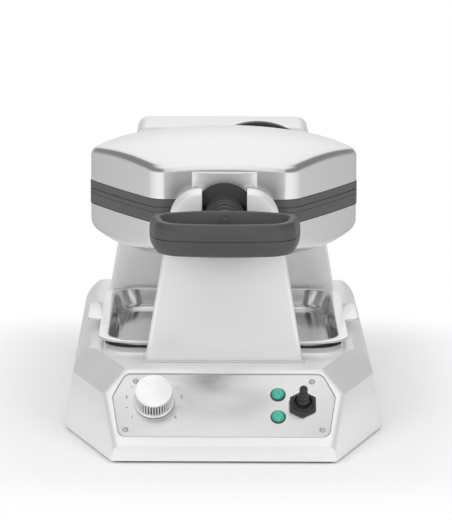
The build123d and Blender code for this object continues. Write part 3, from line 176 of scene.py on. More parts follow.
def finishPiece(name, bm, material, body, replaced=(), smoothAngle=30):
    bm.normal_update()
    mesh = bpy.data.meshes.new(name)
    bm.to_mesh(mesh)
    bm.free()
    piece = bpy.data.objects.new(name, mesh)
    bpy.context.scene.collection.objects.link(piece)
    mesh.materials.append(material)
    mesh.shade_smooth()
    mesh.set_sharp_from_angle(angle=math.radians(smoothAngle))
    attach(piece, body)
    if replaced:
        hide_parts(*replaced)
    return piece


# shader node groups

evenBands = (9.0, 9.0, 9.0)


def startGroup(name, inputs, outputs):
    group = bpy.data.node_groups.new(name, "ShaderNodeTree")
    for label, kind, value in inputs:
        socket = group.interface.new_socket(name=label, in_out="INPUT", socket_type=kind)
        socket.default_value = value
    for label, kind in outputs:
        group.interface.new_socket(name=label, in_out="OUTPUT", socket_type=kind)
    return group, group.nodes.new("NodeGroupInput"), group.nodes.new("NodeGroupOutput")


def addNode(tree, kind, settings=None, **values):
    node = tree.nodes.new(kind)
    for label, value in (settings or {}).items():
        setattr(node, label, value)
    for label, value in values.items():
        node.inputs[label.replace("_", " ")].default_value = value
    return node


def grainGroup():  # fine even grain of paint, moulded plastic and rubber
    group, entry, leave = startGroup(
        "surfaceGrain",
        [("Scale", "NodeSocketFloat", 900.0), ("Height", "NodeSocketFloat", 0.2),
         ("Spread", "NodeSocketFloat", 0.06), ("Roughness", "NodeSocketFloat", 0.5)],
        [("Roughness", "NodeSocketFloat"), ("Normal", "NodeSocketVector"), ("Patches", "NodeSocketFloat")],
    )
    link = group.links.new
    place = addNode(group, "ShaderNodeTexCoord")
    fine = addNode(group, "ShaderNodeTexNoise", Detail=4.0)
    broad = addNode(group, "ShaderNodeTexNoise", Scale=14.0, Detail=3.0)
    bump = addNode(group, "ShaderNodeBump", Distance=0.0002)
    centre = addNode(group, "ShaderNodeMath", {"operation": "SUBTRACT"})
    centre.inputs[1].default_value = 0.5
    spread = addNode(group, "ShaderNodeMath", {"operation": "MULTIPLY_ADD"})
    link(place.outputs["Object"], fine.inputs["Vector"])
    link(place.outputs["Object"], broad.inputs["Vector"])
    link(entry.outputs["Scale"], fine.inputs["Scale"])
    link(fine.outputs["Fac"], bump.inputs["Height"])
    link(entry.outputs["Height"], bump.inputs["Strength"])
    link(broad.outputs["Fac"], centre.inputs[0])
    link(centre.outputs[0], spread.inputs[0])
    link(entry.outputs["Spread"], spread.inputs[1])
    link(entry.outputs["Roughness"], spread.inputs[2])
    link(spread.outputs[0], leave.inputs["Roughness"])
    link(bump.outputs["Normal"], leave.inputs["Normal"])
    link(broad.outputs["Fac"], leave.inputs["Patches"])
    return group


def brushGroup():  # long fine scratches of brushed sheet, along the direction of the smallest stretch
    group, entry, leave = startGroup(
        "brushedSheet",
        [("Stretch", "NodeSocketVector", (1.0, 1.0, 1.0)), ("Bands", "NodeSocketVector", evenBands),
         ("Height", "NodeSocketFloat", 0.2), ("Spread", "NodeSocketFloat", 0.1),
         ("Roughness", "NodeSocketFloat", 0.3)],
        [("Roughness", "NodeSocketFloat"), ("Normal", "NodeSocketVector"), ("Streaks", "NodeSocketFloat")],
    )
    link = group.links.new
    place = addNode(group, "ShaderNodeTexCoord")
    stretched = addNode(group, "ShaderNodeVectorMath", {"operation": "MULTIPLY"})
    streaks = addNode(group, "ShaderNodeTexNoise", Scale=1.0, Detail=6.0, Roughness=0.7)
    banded = addNode(group, "ShaderNodeVectorMath", {"operation": "MULTIPLY"})
    broad = addNode(group, "ShaderNodeTexNoise", Scale=1.0, Detail=2.0)
    tone = addNode(group, "ShaderNodeMath", {"operation": "MULTIPLY_ADD"})
    halved = addNode(group, "ShaderNodeMath", {"operation": "MULTIPLY"})
    tone.inputs[1].default_value, halved.inputs[1].default_value = 0.6, 0.4  # shares of bands and scratches
    bump = addNode(group, "ShaderNodeBump", Distance=0.0001)
    both = addNode(group, "ShaderNodeMath", {"operation": "MULTIPLY_ADD"})
    both.inputs[1].default_value = 0.35
    centre = addNode(group, "ShaderNodeMath", {"operation": "SUBTRACT"})
    centre.inputs[1].default_value = 0.68  # the mean of both noises together
    spread = addNode(group, "ShaderNodeMath", {"operation": "MULTIPLY_ADD"})
    link(place.outputs["Object"], stretched.inputs[0])
    link(entry.outputs["Stretch"], stretched.inputs[1])
    link(stretched.outputs[0], streaks.inputs["Vector"])
    link(place.outputs["Object"], banded.inputs[0])
    link(entry.outputs["Bands"], banded.inputs[1])
    link(banded.outputs[0], broad.inputs["Vector"])
    link(streaks.outputs["Fac"], halved.inputs[0])
    link(broad.outputs["Fac"], tone.inputs[0])
    link(halved.outputs[0], tone.inputs[2])
    link(streaks.outputs["Fac"], bump.inputs["Height"])
    link(entry.outputs["Height"], bump.inputs["Strength"])
    link(broad.outputs["Fac"], both.inputs[0])
    link(streaks.outputs["Fac"], both.inputs[2])
    link(both.outputs[0], centre.inputs[0])
    link(centre.outputs[0], spread.inputs[0])
    link(entry.outputs["Spread"], spread.inputs[1])
    link(entry.outputs["Roughness"], spread.inputs[2])
    link(spread.outputs[0], leave.inputs["Roughness"])
    link(bump.outputs["Normal"], leave.inputs["Normal"])
    link(tone.outputs[0], leave.inputs["Streaks"])
    return group


def tintGroup():  # blends two close tones by a mask, for slight unevenness of colour
    group, entry, leave = startGroup(
        "unevenTone",
        [("Mask", "NodeSocketFloat", 0.5), ("Tone", "NodeSocketColor", (1, 1, 1, 1)),
         ("Share", "NodeSocketFloat", 0.08)],
        [("Color", "NodeSocketColor")],
    )
    link = group.links.new
    centre = addNode(group, "ShaderNodeMath", {"operation": "SUBTRACT"})
    centre.inputs[1].default_value = 0.5
    scaled = addNode(group, "ShaderNodeMath", {"operation": "MULTIPLY_ADD"})
    scaled.inputs[2].default_value = 1.0
    product = addNode(group, "ShaderNodeVectorMath", {"operation": "SCALE"})
    link(entry.outputs["Mask"], centre.inputs[0])
    link(centre.outputs[0], scaled.inputs[0])
    link(entry.outputs["Share"], scaled.inputs[1])
    link(entry.outputs["Tone"], product.inputs[0])
    link(scaled.outputs[0], product.inputs["Scale"])
    link(product.outputs[0], leave.inputs["Color"])
    return group


grain, brush, uneven = grainGroup(), brushGroup(), tintGroup()


def placeGroup(tree, group, **values):
    node = tree.nodes.new("ShaderNodeGroup")
    node.node_tree = group
    for label, value in values.items():
        node.inputs[label].default_value = value
    return node


# one surface: its group gives roughness and normal, and the mask that makes its colour uneven
def surfaceMaterial(name, colour, share, group, mask, settings, values):
    material = bpy.data.materials.new(name)
    material.use_nodes = True
    tree = material.node_tree
    shader = tree.nodes["Principled BSDF"]
    for label, value in settings.items():
        shader.inputs[label].default_value = value
    surface = placeGroup(tree, group, **values)
    tone = placeGroup(tree, uneven, Tone=(*colour, 1), Share=share)
    tree.links.new(surface.outputs[mask], tone.inputs["Mask"])
    tree.links.new(tone.outputs["Color"], shader.inputs["Base Color"])
    tree.links.new(surface.outputs["Roughness"], shader.inputs["Roughness"])
    tree.links.new(surface.outputs["Normal"], shader.inputs["Normal"])
    return material


def grainyMaterial(name, colour, roughness, scale=900.0, height=0.2, spread=0.06, share=0.06, **settings):
    values = {"Scale": scale, "Height": height, "Spread": spread, "Roughness": roughness}
    return surfaceMaterial(name, colour, share, grain, "Patches", settings, values)


def brushedMaterial(
    name, colour, roughness, stretch, bands=evenBands, height=0.2, spread=0.1, share=0.08, **settings,
):
    settings.setdefault("Metallic", 1.0)
    values = {"Stretch": stretch, "Bands": bands, "Height": height, "Spread": spread, "Roughness": roughness}
    return surfaceMaterial(name, colour, share, brush, "Streaks", settings, values)


housingPaint = grainyMaterial(
    "housingPaint", (0.86, 0.86, 0.855), 0.4, scale=1400.0,
    height=0.25, spread=0.1, share=0.03, Metallic=0.52,
)
sheetPaint = grainyMaterial("sheetPaint", (0.5, 0.5, 0.49), 0.5, Metallic=0.2)
panelSteel = brushedMaterial(
    "panelSteel", (0.80, 0.80, 0.795), 0.24, (30.0, 2400.0, 2400.0), bands=(26.0, 1.0, 1.0),
    height=1.0, spread=0.12, share=0.16,
)
coverSteel = brushedMaterial(
    "coverSteel", (0.88, 0.88, 0.88), 0.26, (16.0, 16.0, 1900.0), height=0.008, spread=0.03, share=0.02,
)
traySteel = brushedMaterial(
    "traySteel", (0.83, 0.83, 0.83), 0.14, (60.0, 60.0, 60.0), height=0.05, spread=0.08, share=0.04,
)
fixingSteel = brushedMaterial("fixingSteel", (0.62, 0.62, 0.63), 0.3, (300.0, 300.0, 300.0), height=0.1)
rimPlastic = grainyMaterial("rimPlastic", (0.075, 0.075, 0.077), 0.4, scale=2200.0, height=0.2, share=0.1)
handlePlastic = grainyMaterial(
    "handlePlastic", (0.058, 0.058, 0.06), 0.42, scale=2600.0, height=0.22, share=0.08,
)
trunnionCoat = grainyMaterial("trunnionCoat", (0.05, 0.05, 0.052), 0.34, scale=1500.0, height=0.15, share=0.1)
blackPlastic = grainyMaterial("blackPlastic", (0.03, 0.03, 0.031), 0.45, scale=1800.0)
blackRubber = grainyMaterial("blackRubber", (0.026, 0.026, 0.027), 0.36, scale=1600.0, height=0.3, share=0.2)
greyRubber = grainyMaterial("greyRubber", (0.58, 0.58, 0.575), 0.6, scale=1200.0)
knobMetal = brushedMaterial(
    "knobMetal", (0.96, 0.96, 0.96), 0.36, (260.0, 260.0, 260.0),
    height=0.04, spread=0.05, share=0.03, Metallic=0.6,
)
brassMetal = brushedMaterial("brassMetal", (0.72, 0.55, 0.26), 0.28, (200.0, 200.0, 200.0))
bronzeMetal = brushedMaterial("bronzeMetal", (0.50, 0.33, 0.18), 0.38, (300.0, 300.0, 300.0))
castMetal = grainyMaterial("castMetal", (0.50, 0.50, 0.51), 0.5, scale=700.0, height=0.5, Metallic=0.8)
plateCoating = grainyMaterial(
    "plateCoating", (0.045, 0.044, 0.043), 0.33, scale=1500.0, height=0.3, spread=0.12, share=0.3,
)
heaterSteel = brushedMaterial("heaterSteel", (0.24, 0.22, 0.2), 0.4, (120.0, 120.0, 120.0))
padFibre = grainyMaterial("padFibre", (0.72, 0.69, 0.6), 0.9, scale=420.0, height=0.9, share=0.2)
palePlastic = grainyMaterial("palePlastic", (0.72, 0.72, 0.68), 0.4)
boardGreen = grainyMaterial("boardGreen", (0.02, 0.16, 0.07), 0.3, scale=300.0)
inkGrey = grainyMaterial("inkGrey", (0.12, 0.12, 0.12), 0.5)
lensGreen = grainyMaterial(
    "lensGreen", (0.004, 0.3, 0.21), 0.1, scale=420.0, height=1.0, share=1.6,
    **{"Coat Weight": 1.0, "IOR": 1.8},
)

cadFinishes = {
    "housing_paint": housingPaint, "base_plate_steel": sheetPaint, "panel_steel": panelSteel,
    "cover_steel": coverSteel, "tray_steel": traySteel, "fixing_steel": fixingSteel,
    "rim_plastic": rimPlastic, "handle_plastic": handlePlastic, "trunnion_metal": trunnionCoat,
    "knob_metal": knobMetal, "shaft_brass": brassMetal, "lens_green": lensGreen,
    "lamp_plastic": palePlastic, "black_plastic": blackPlastic, "black_rubber": blackRubber,
    "grey_rubber": greyRubber, "plate_coating": plateCoating, "heater_steel": heaterSteel,
    "pad_fibre": padFibre, "bush_bronze": bronzeMetal, "cast_housing": castMetal, "board_green": boardGreen,
}
for subpart in frame["record"]["subparts"]:
    node = frame["nodes"][subpart["node"]]
    node.data.materials.clear()
    node.data.materials.append(cadFinishes[subpart["material_slot"]])
frame["nodes"]["handle_bolt"].data.materials[0] = trunnionCoat  # the bolt inside the loop is black
print("materials ready:", len(bpy.data.materials))


# base casting

baseCasting = {
    "lipHeight": 0.0123, "deckHeight": 0.0632, "slopeRun": 0.0543, "frontEdgeHalf": 0.0895,
    "frontSpare": 0.05, "breakHeight": 0.0466, "wallLean": 7.46, "cornerHeading": 70, "cornerLean": 7.2,
    "upperLean": 53.7, "rearHeading": 135, "rearCorner": 0.026, "shoulderRound": 0.0227,
    "shoulderSteps": 10, "shoulderFrom": -0.05, "edgeRound": 0.0014, "fasciaRound": 0.0042,
    "fasciaSteps": 5, "fasciaFrom": 0.02, "sharpAngle": 18, "wall": 0.004, "deckThickness": 0.0035,
    "collarHalf": 0.0997, "collarFront": 0.0135, "collarRear": 0.003, "collarRound": 0.02,
    "collarDrop": 0.0045, "collarSink": 0.002, "collarEdge": 0.002, "wellClearance": 0.0012,
    "wellWall": 0.0025, "wellRound": 0.024, "wellGap": 0.0003, "wellBottom": 0.003, "seatDepth": 0.002,
    "smoothAngle": 24,
}
castLow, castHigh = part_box("base_housing")
deckZ = castLow.z + baseCasting["deckHeight"]
slopeRise = baseCasting["deckHeight"] - baseCasting["lipHeight"]
panelNormal = Vector((0, -slopeRise, baseCasting["slopeRun"])).normalized()
panelUp = Vector((0, baseCasting["slopeRun"], slopeRise)).normalized()
panelOrigin = Vector((0, castLow.y, castLow.z + baseCasting["lipHeight"]))


def leaningNormal(sign, heading, lean):
    turn, tilt = math.radians(heading), math.radians(lean)
    return Vector((sign * math.sin(turn) * math.cos(tilt), -math.cos(turn) * math.cos(tilt), math.sin(tilt)))


def castingBlock(inset, drop):
    sizes = baseCasting
    roof, ground = deckZ - drop, castLow.z + levelGap
    leanRun = math.tan(math.radians(sizes["wallLean"])) * (roof - castLow.z)
    bm = blockMesh(
        (castLow.x + inset, castLow.y - sizes["frontSpare"], castLow.z),
        (castHigh.x - inset, castHigh.y - inset, roof),
    )
    for vertex in bm.verts:
        if vertex.co.z > ground:
            vertex.co.x -= math.copysign(leanRun, vertex.co.x)
            vertex.co.y -= leanRun if vertex.co.y > 0 else 0
    shoulders = [
        edge for edge in bm.edges
        if all(vertex.co.z > ground for vertex in edge.verts)
        and (edge.verts[0].co + edge.verts[1].co).y / 2 > sizes["shoulderFrom"]
    ]
    radius = sizes["shoulderRound"] - inset
    offset = radius * math.tan(math.radians(90 - sizes["wallLean"]) / 2)
    bevelMesh(bm, shoulders, offset, sizes["shoulderSteps"])
    trimMesh(bm, panelOrigin - panelNormal * inset, panelNormal)
    trimMesh(bm, (0, castLow.y + inset, 0), (0, -1, 0))
    leanShare = math.tan(math.radians(sizes["cornerLean"])) / math.sin(math.radians(sizes["cornerHeading"]))
    breakHalf = sizes["frontEdgeHalf"] - sizes["breakHeight"] * leanShare
    breakZ = castLow.z + sizes["breakHeight"]
    heading = sizes["cornerHeading"]
    for sign in (-1, 1):
        for point, turn, lean in (
            ((sign * sizes["frontEdgeHalf"], castLow.y, castLow.z), heading, sizes["cornerLean"]),
            ((sign * breakHalf, castLow.y, breakZ), heading, sizes["upperLean"]),
            (
                (sign * castHigh.x, castHigh.y - sizes["rearCorner"], castLow.z), sizes["rearHeading"],
                sizes["wallLean"],
            ),
        ):
            normal = leaningNormal(sign, turn, lean)
            trimMesh(bm, Vector(point) - normal * inset, normal)
    return bm


trayLow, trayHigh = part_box("drip_tray")
trayPan = {
    "length": 0.227, "width": 0.209, "flange": 0.007, "sheet": 0.001, "cornerRound": 0.024, "draft": 0.004,
    "flangeSheet": 0.0016, "earLength": 0.063, "earRound": 0.004, "earCentre": 0.0265, "earSlant": 0.004,
    "floorRound": 0.006, "floorSteps": 5, "edgeRoll": 0.0007, "mouthRound": 0.0009, "mouthReach": 0.001,
    "overlap": 0.0002, "mouthRise": 0.004, "sharpAngle": 50,
}
panWidth = trayPan["width"] - 2 * trayPan["flange"]
panLength = trayPan["length"] - 2 * trayPan["flange"]
trayCentreY = (trayLow.y + trayHigh.y) / 2


def wellMesh(spare, floor):  # room for the tray's pan, wider by a spare gap
    corners = rectangle(panWidth + 2 * spare, panLength + 2 * spare, (0, trayCentreY))
    return outlineMesh(corners, [baseCasting["wellRound"]] * 4, floor, castHigh.z + past)


def makeBase():
    sizes = baseCasting
    bm = castingBlock(0, 0)
    bm.normal_update()
    fascia = [
        edge for edge in sharpEdges(bm, sizes["sharpAngle"])
        if any(face.normal.dot(panelNormal) > 0.999 for face in edge.link_faces)
        and max(vertex.co.z for vertex in edge.verts) > castLow.z + sizes["fasciaFrom"]
    ]
    bevelMesh(bm, fascia, sizes["fasciaRound"], sizes["fasciaSteps"])
    bevelMesh(bm, sharpEdges(bm, sizes["sharpAngle"]), sizes["edgeRound"])
    collarLength = trayPan["length"] + sizes["collarFront"] + sizes["collarRear"]
    collarCentre = (0, trayCentreY - (sizes["collarFront"] - sizes["collarRear"]) / 2)
    collar = outlineMesh(
        rectangle(2 * sizes["collarHalf"], collarLength, collarCentre), [sizes["collarRound"]] * 4,
        deckZ - sizes["collarSink"], castHigh.z - sizes["collarDrop"],
    )
    collarTop = [edge for edge in sharpEdges(collar, 60) if edge.verts[0].co.z > deckZ]
    bevelMesh(collar, collarTop, sizes["collarEdge"], 4)
    bm = combineMesh(bm, collar, "UNION")
    inner = castingBlock(sizes["wall"], sizes["deckThickness"])
    foot = [vertex for vertex in inner.verts if vertex.co.z < castLow.z + levelGap]
    bmesh.ops.translate(inner, vec=(0, 0, -sizes["wall"]), verts=foot)
    wellShell = wellMesh(sizes["wellClearance"] + sizes["wellWall"], trayLow.z - sizes["wellBottom"])
    bm = combineMesh(bm, combineMesh(inner, wellShell))
    bm = combineMesh(bm, wellMesh(sizes["wellClearance"], trayLow.z - sizes["wellGap"]))
    seat = placeMesh(panelPlate(-controlPanel["gap"], -sizes["seatDepth"], past), panelOrigin, panelNormal)
    bm = combineMesh(bm, seat)
    finishPiece(
        "baseCasting", bm, housingPaint, "base", ("base_housing",), sizes["smoothAngle"],
    )


# control panel with its dial, knob, lamps and switch

controlPanel = {
    "topHalf": 0.0795, "sideHalf": 0.0898, "bottomHalf": 0.0842, "topUp": 0.0693, "sideUp": 0.0472,
    "bottomUp": 0.0089, "cornerRound": 0.007, "thickness": 0.0015, "edgeRound": 0.0004, "gap": 0.0003,
    "screwRadius": 0.0024, "screwHeight": 0.0009, "screwRoot": 0.001, "screwSteps": 24,
    "screwProfile": ((0, 0.45), (0.38, 0.45), (0.42, 1), (0.75, 0.85), (1, 0.3)),
    "screwPlaces": ((0.071, 0.0623), (0.0787, 0.0159)),
}
panelFace = panelOrigin - panelNormal * (baseCasting["seatDepth"] - controlPanel["thickness"])


def panelPlace(across, up, out=0.0):
    return panelFace + Vector((across, 0, 0)) + panelUp * up + panelNormal * out


def panelPlate(shrink, low, high):
    sizes = controlPanel
    corners = [
        (sizes["bottomHalf"] - shrink, sizes["bottomUp"] + shrink),
        (sizes["sideHalf"] - shrink, sizes["sideUp"]), (sizes["topHalf"] - shrink, sizes["topUp"] - shrink),
    ]
    outline = corners + [(-x, y) for x, y in reversed(corners)]
    return outlineMesh(outline, [sizes["cornerRound"] - shrink] * 6, low, high)


def makePanel():
    sizes = controlPanel
    bm = panelPlate(sizes["gap"], 0, sizes["thickness"])
    bevelMesh(bm, [edge for edge in sharpEdges(bm, 60) if edge.verts[0].co.z > 0], sizes["edgeRound"], 2)
    placeMesh(bm, panelOrigin - panelNormal * baseCasting["seatDepth"], panelNormal)
    finishPiece("controlPlate", bm, panelSteel, "base", ("control_panel",))

    screws = bmesh.new()
    radius, height, root = sizes["screwRadius"], sizes["screwHeight"], sizes["screwRoot"]
    for sign in (-1, 1):
        for across, up in sizes["screwPlaces"]:
            profile = [(radius * share, height * rise) for share, rise in sizes["screwProfile"]]
            screw = turnedMesh(profile + [(radius, -root), (0, -root)], sizes["screwSteps"])
            addMesh(screws, placeMesh(screw, panelPlace(sign * across, up), panelNormal))
    finishPiece("panelScrews", screws, fixingSteel, "base", ("panel_screws",))


dial = {
    "across": -0.0562, "up": 0.0424, "markLength": 0.0018, "markWidth": 0.0004, "ink": 0.00008,
    "numberRadius": 0.0225, "numberSize": 0.0042, "lowest": -130, "highest": 130, "numbers": 6,
}


def dialPlace(degrees, radius):  # degrees from straight up, clockwise
    turn = math.radians(degrees)
    return dial["across"] + radius * math.sin(turn), dial["up"] + radius * math.cos(turn)


def tickMesh():
    half = Vector((dial["markWidth"] / 2, dial["markLength"] / 2, 0))
    return blockMesh(-half, half + Vector((0, 0, dial["ink"])))


def numberMesh(number):
    words = bpy.data.curves.new("number", "FONT")
    words.body, words.size, words.extrude = str(number), dial["numberSize"], dial["ink"] / 2
    words.align_x, words.align_y = "CENTER", "CENTER"
    words.resolution_u = 3
    holder = bpy.data.objects.new("number", words)
    bpy.context.scene.collection.objects.link(holder)
    mesh = bpy.data.meshes.new_from_object(holder.evaluated_get(bpy.context.evaluated_depsgraph_get()))
    bm = bmesh.new()
    bm.from_mesh(mesh)
    bpy.data.objects.remove(holder)
    bpy.data.curves.remove(words)
    bpy.data.meshes.remove(mesh)
    return bm


def makeDial():  # numbers with a tick between each two
    sizes = dial
    marks = bmesh.new()
    places = 2 * sizes["numbers"] - 1
    for index in range(places):
        degrees = sizes["lowest"] + (sizes["highest"] - sizes["lowest"]) * index / (places - 1)
        turn = math.radians(degrees)
        across, up = dialPlace(degrees, sizes["numberRadius"])
        if index % 2:
            along = Vector((math.cos(turn), 0, 0)) - panelUp * math.sin(turn)
            addMesh(marks, placeMesh(tickMesh(), panelPlace(across, up), panelNormal, along))
        else:
            place = panelPlace(across, up, sizes["ink"] / 2)
            addMesh(marks, placeMesh(numberMesh(index // 2 + 1), place, panelNormal))
    finishPiece("dialMarks", marks, inkGrey, "base")


knob = {
    "gap": 0.0008, "skirtRadius": 0.0165, "skirtHeight": 0.002, "skirtFoot": 0.0004, "skirtRound": 0.0006,
    "bodyRadius": 0.0152, "ribDepth": 0.0013, "coreInset": 0.0009, "coreRise": 0.0004, "ribs": 40,
    "height": 0.016, "crownHeight": 0.0135, "crownRound": 0.0008, "overlap": 0.0002, "pointerTurn": 40,
    "pointerLength": 0.009, "pointerWidth": 0.0007, "pointerDepth": 0.0003, "steps": 96, "smoothAngle": 35,
}


def makeKnob():
    sizes = knob
    steps = sizes["steps"]
    place = panelPlace(dial["across"], dial["up"], sizes["gap"])
    reach, rise = sizes["skirtRadius"], sizes["skirtHeight"]
    foot, edge = sizes["skirtFoot"], sizes["skirtRound"]
    profile = [(0, 0), (reach - foot, 0), (reach, foot)]
    profile += [(reach, rise - edge), (reach - edge, rise), (0, rise)]
    skirt = turnedMesh(profile, steps)
    barrel = bmesh.new()
    bmesh.ops.create_circle(barrel, cap_ends=True, radius=sizes["bodyRadius"], segments=sizes["ribs"] * 4)
    for index, vertex in enumerate(barrel.verts):
        if index % 4 in (0, 1):
            vertex.co *= 1 - sizes["ribDepth"] / sizes["bodyRadius"]
    raiseFaces(barrel, sizes["crownHeight"])
    radius, edge = sizes["bodyRadius"], sizes["crownRound"]
    low, top = sizes["crownHeight"], sizes["height"]
    profile = [
        (0, low - sizes["overlap"]), (radius - edge / 2, low - sizes["overlap"]), (radius, low + edge / 2),
        (radius, top - edge), (radius - edge * 0.3, top - edge * 0.3), (radius - edge, top), (0, top),
    ]
    crown = turnedMesh(profile, steps)
    groove = blockMesh(
        (-sizes["pointerWidth"] / 2, radius - edge - sizes["pointerLength"], top - sizes["pointerDepth"]),
        (sizes["pointerWidth"] / 2, radius - edge * 1.5, top + levelGap),
    )
    turn = Matrix.Rotation(math.radians(sizes["pointerTurn"]), 3, "Z")
    bmesh.ops.rotate(groove, cent=(0, 0, 0), matrix=turn, verts=groove.verts)
    crown = combineMesh(crown, groove)
    addMesh(crown, barrel)
    addMesh(crown, skirt)
    placeMesh(crown, place, panelNormal)
    finishPiece(
        "browningKnob", crown, knobMetal, "knob", ("browning_knob",), sizes["smoothAngle"],
    )

    coreRadius, coreLow, coreTop = radius - sizes["coreInset"], rise / 2, low + sizes["coreRise"]
    core = turnedMesh([(0, coreLow), (coreRadius, coreLow), (coreRadius, coreTop), (0, coreTop)], steps)
    placeMesh(core, place, panelNormal)
    # painted shade: the black core shows between the ribs as dark groove floors, in place of the shade inside the
    # grooves
    finishPiece("knobGrooves", core, blackPlastic, "knob", (), sizes["smoothAngle"])


lamps = {
    "across": 0.0435, "places": (0.0495, 0.0282), "lensRadius": 0.0053, "lensHeight": 0.0032,
    "lensWall": 0.45, "lensTurns": (0, 22, 45, 68, 90), "facets": 14, "facetAngle": 8, "gap": 0.00004,
    "bezelRadius": 0.0062, "bezelHeight": 0.001, "bezelInner": 0.0002, "bezelOuter": 0.0004, "steps": 48,
}


def makeLamps():
    sizes = lamps
    radius, height, wall = sizes["lensRadius"], sizes["lensHeight"], sizes["lensWall"]
    turns = [math.radians(turn) for turn in sizes["lensTurns"]]
    dome = [(radius * math.sin(turn), height * wall + height * (1 - wall) * math.cos(turn)) for turn in turns]
    inner, outer, rise = radius + sizes["gap"], sizes["bezelRadius"], sizes["bezelHeight"]
    ring = [
        (inner, 0), (inner, rise * 0.7), (inner + sizes["bezelInner"], rise),
        (outer - sizes["bezelOuter"], rise), (outer, rise * 0.5), (outer, 0), (inner, 0),
    ]
    lenses, bezels = bmesh.new(), bmesh.new()
    for up in sizes["places"]:
        place = panelPlace(sizes["across"], up)
        lens = turnedMesh(dome + [(radius, 0), (0, 0)], sizes["facets"])
        addMesh(lenses, placeMesh(lens, place, panelNormal))
        addMesh(bezels, placeMesh(turnedMesh(ring, sizes["steps"]), place, panelNormal))
    finishPiece("lampLenses", lenses, lensGreen, "base", ("lamp_lenses",), sizes["facetAngle"])
    finishPiece("lampBezels", bezels, trunnionCoat, "base")


switch = {
    "across": 0.0634, "up": 0.0395, "flat": 0.0104, "nutHeight": 0.0032, "nutEdge": 0.0005, "bore": 0.0074,
    "collarRadius": 0.0086, "collarHeight": 0.0026, "collarStep": 0.0006, "collarSink": 0.0002,
    "lean": 5, "pivotDepth": 0.001, "start": 0.0038, "length": 0.021, "footRadius": 0.0062,
    "tipRadius": 0.0034, "tipRise": 1.05, "tipShare": 1.1, "taper": 1.25, "ribs": 4, "ribSteps": 6,
    "ribDepth": 0.0009, "ribFade": 0.7, "steps": 48,
}


def makeSwitch():
    sizes = switch
    nut = bmesh.new()
    bmesh.ops.create_circle(nut, cap_ends=True, radius=sizes["flat"] / math.cos(math.radians(30)), segments=6)
    raiseFaces(nut, sizes["nutHeight"])
    bevelMesh(nut, sharpEdges(nut, 40), sizes["nutEdge"], 2)
    radius, low, rise = sizes["collarRadius"], sizes["nutHeight"], sizes["collarHeight"]
    bore, step, foot = sizes["bore"], sizes["collarStep"], low - sizes["collarSink"]
    rings = [
        (bore, foot), (radius, foot), (radius, low + rise * 0.35), (radius - step, low + rise * 0.5),
        (radius - step, low + rise * 0.8), (radius - 2 * step, low + rise), (bore, low + rise), (bore, foot),
    ]
    addMesh(nut, turnedMesh(rings, sizes["steps"]))
    placeMesh(nut, panelPlace(sizes["across"], sizes["up"]), panelNormal)
    finishPiece("switchNut", nut, blackRubber, "base", ("switch_boot_nut",), 35)

    foot, tip = sizes["footRadius"], sizes["tipRadius"]
    profile = [(0, sizes["start"]), (foot, sizes["start"])]
    steps = sizes["ribs"] * sizes["ribSteps"]
    for step in range(steps + 1):
        share = step / steps
        mean = foot + (tip - foot) * min(1.0, share * sizes["taper"])
        wave = sizes["ribDepth"] * (0.5 - 0.5 * math.cos(2 * math.pi * sizes["ribs"] * share))
        level = sizes["start"] + (sizes["length"] - tip * sizes["tipShare"]) * share
        profile.append((mean - wave * (1 - share * sizes["ribFade"]), level))
    crownBase = profile[-1][1]
    for turn in range(15, 91, 15):
        angle = math.radians(turn)
        profile.append((tip * math.cos(angle), crownBase + tip * sizes["tipRise"] * math.sin(angle)))
    profile[-1] = (0, profile[-1][1])
    boot = turnedMesh(profile, sizes["steps"])
    lean = Matrix.Rotation(math.radians(-sizes["lean"]), 3, "X")
    placeMesh(boot, panelPlace(sizes["across"], sizes["up"], -sizes["pivotDepth"]), lean @ panelNormal)
    finishPiece("switchBoot", boot, blackRubber, "toggle", ("toggle_boot",), 60)


# front support

frontLeg = {
    "edgeRound": 0.0035, "uprightRise": 0.02, "thinEdge": 0.0004, "leanShare": 0.1676, "padRound": 0.003,
    "saddleBevel": 0.0042, "saddleRound": 0.024, "saddleEdge": 0.0005, "saddleSharp": 28, "slotHalf": 0.0182,
    "slotFlat": 0.00005,
}


def taperedPlate(low, high, lowHalf, highHalf):
    bm = blockMesh(low, high)
    middle = (low[2] + high[2]) / 2
    for vertex in bm.verts:
        vertex.co.x = math.copysign(highHalf if vertex.co.z > middle else lowHalf, vertex.co.x)
    return bm


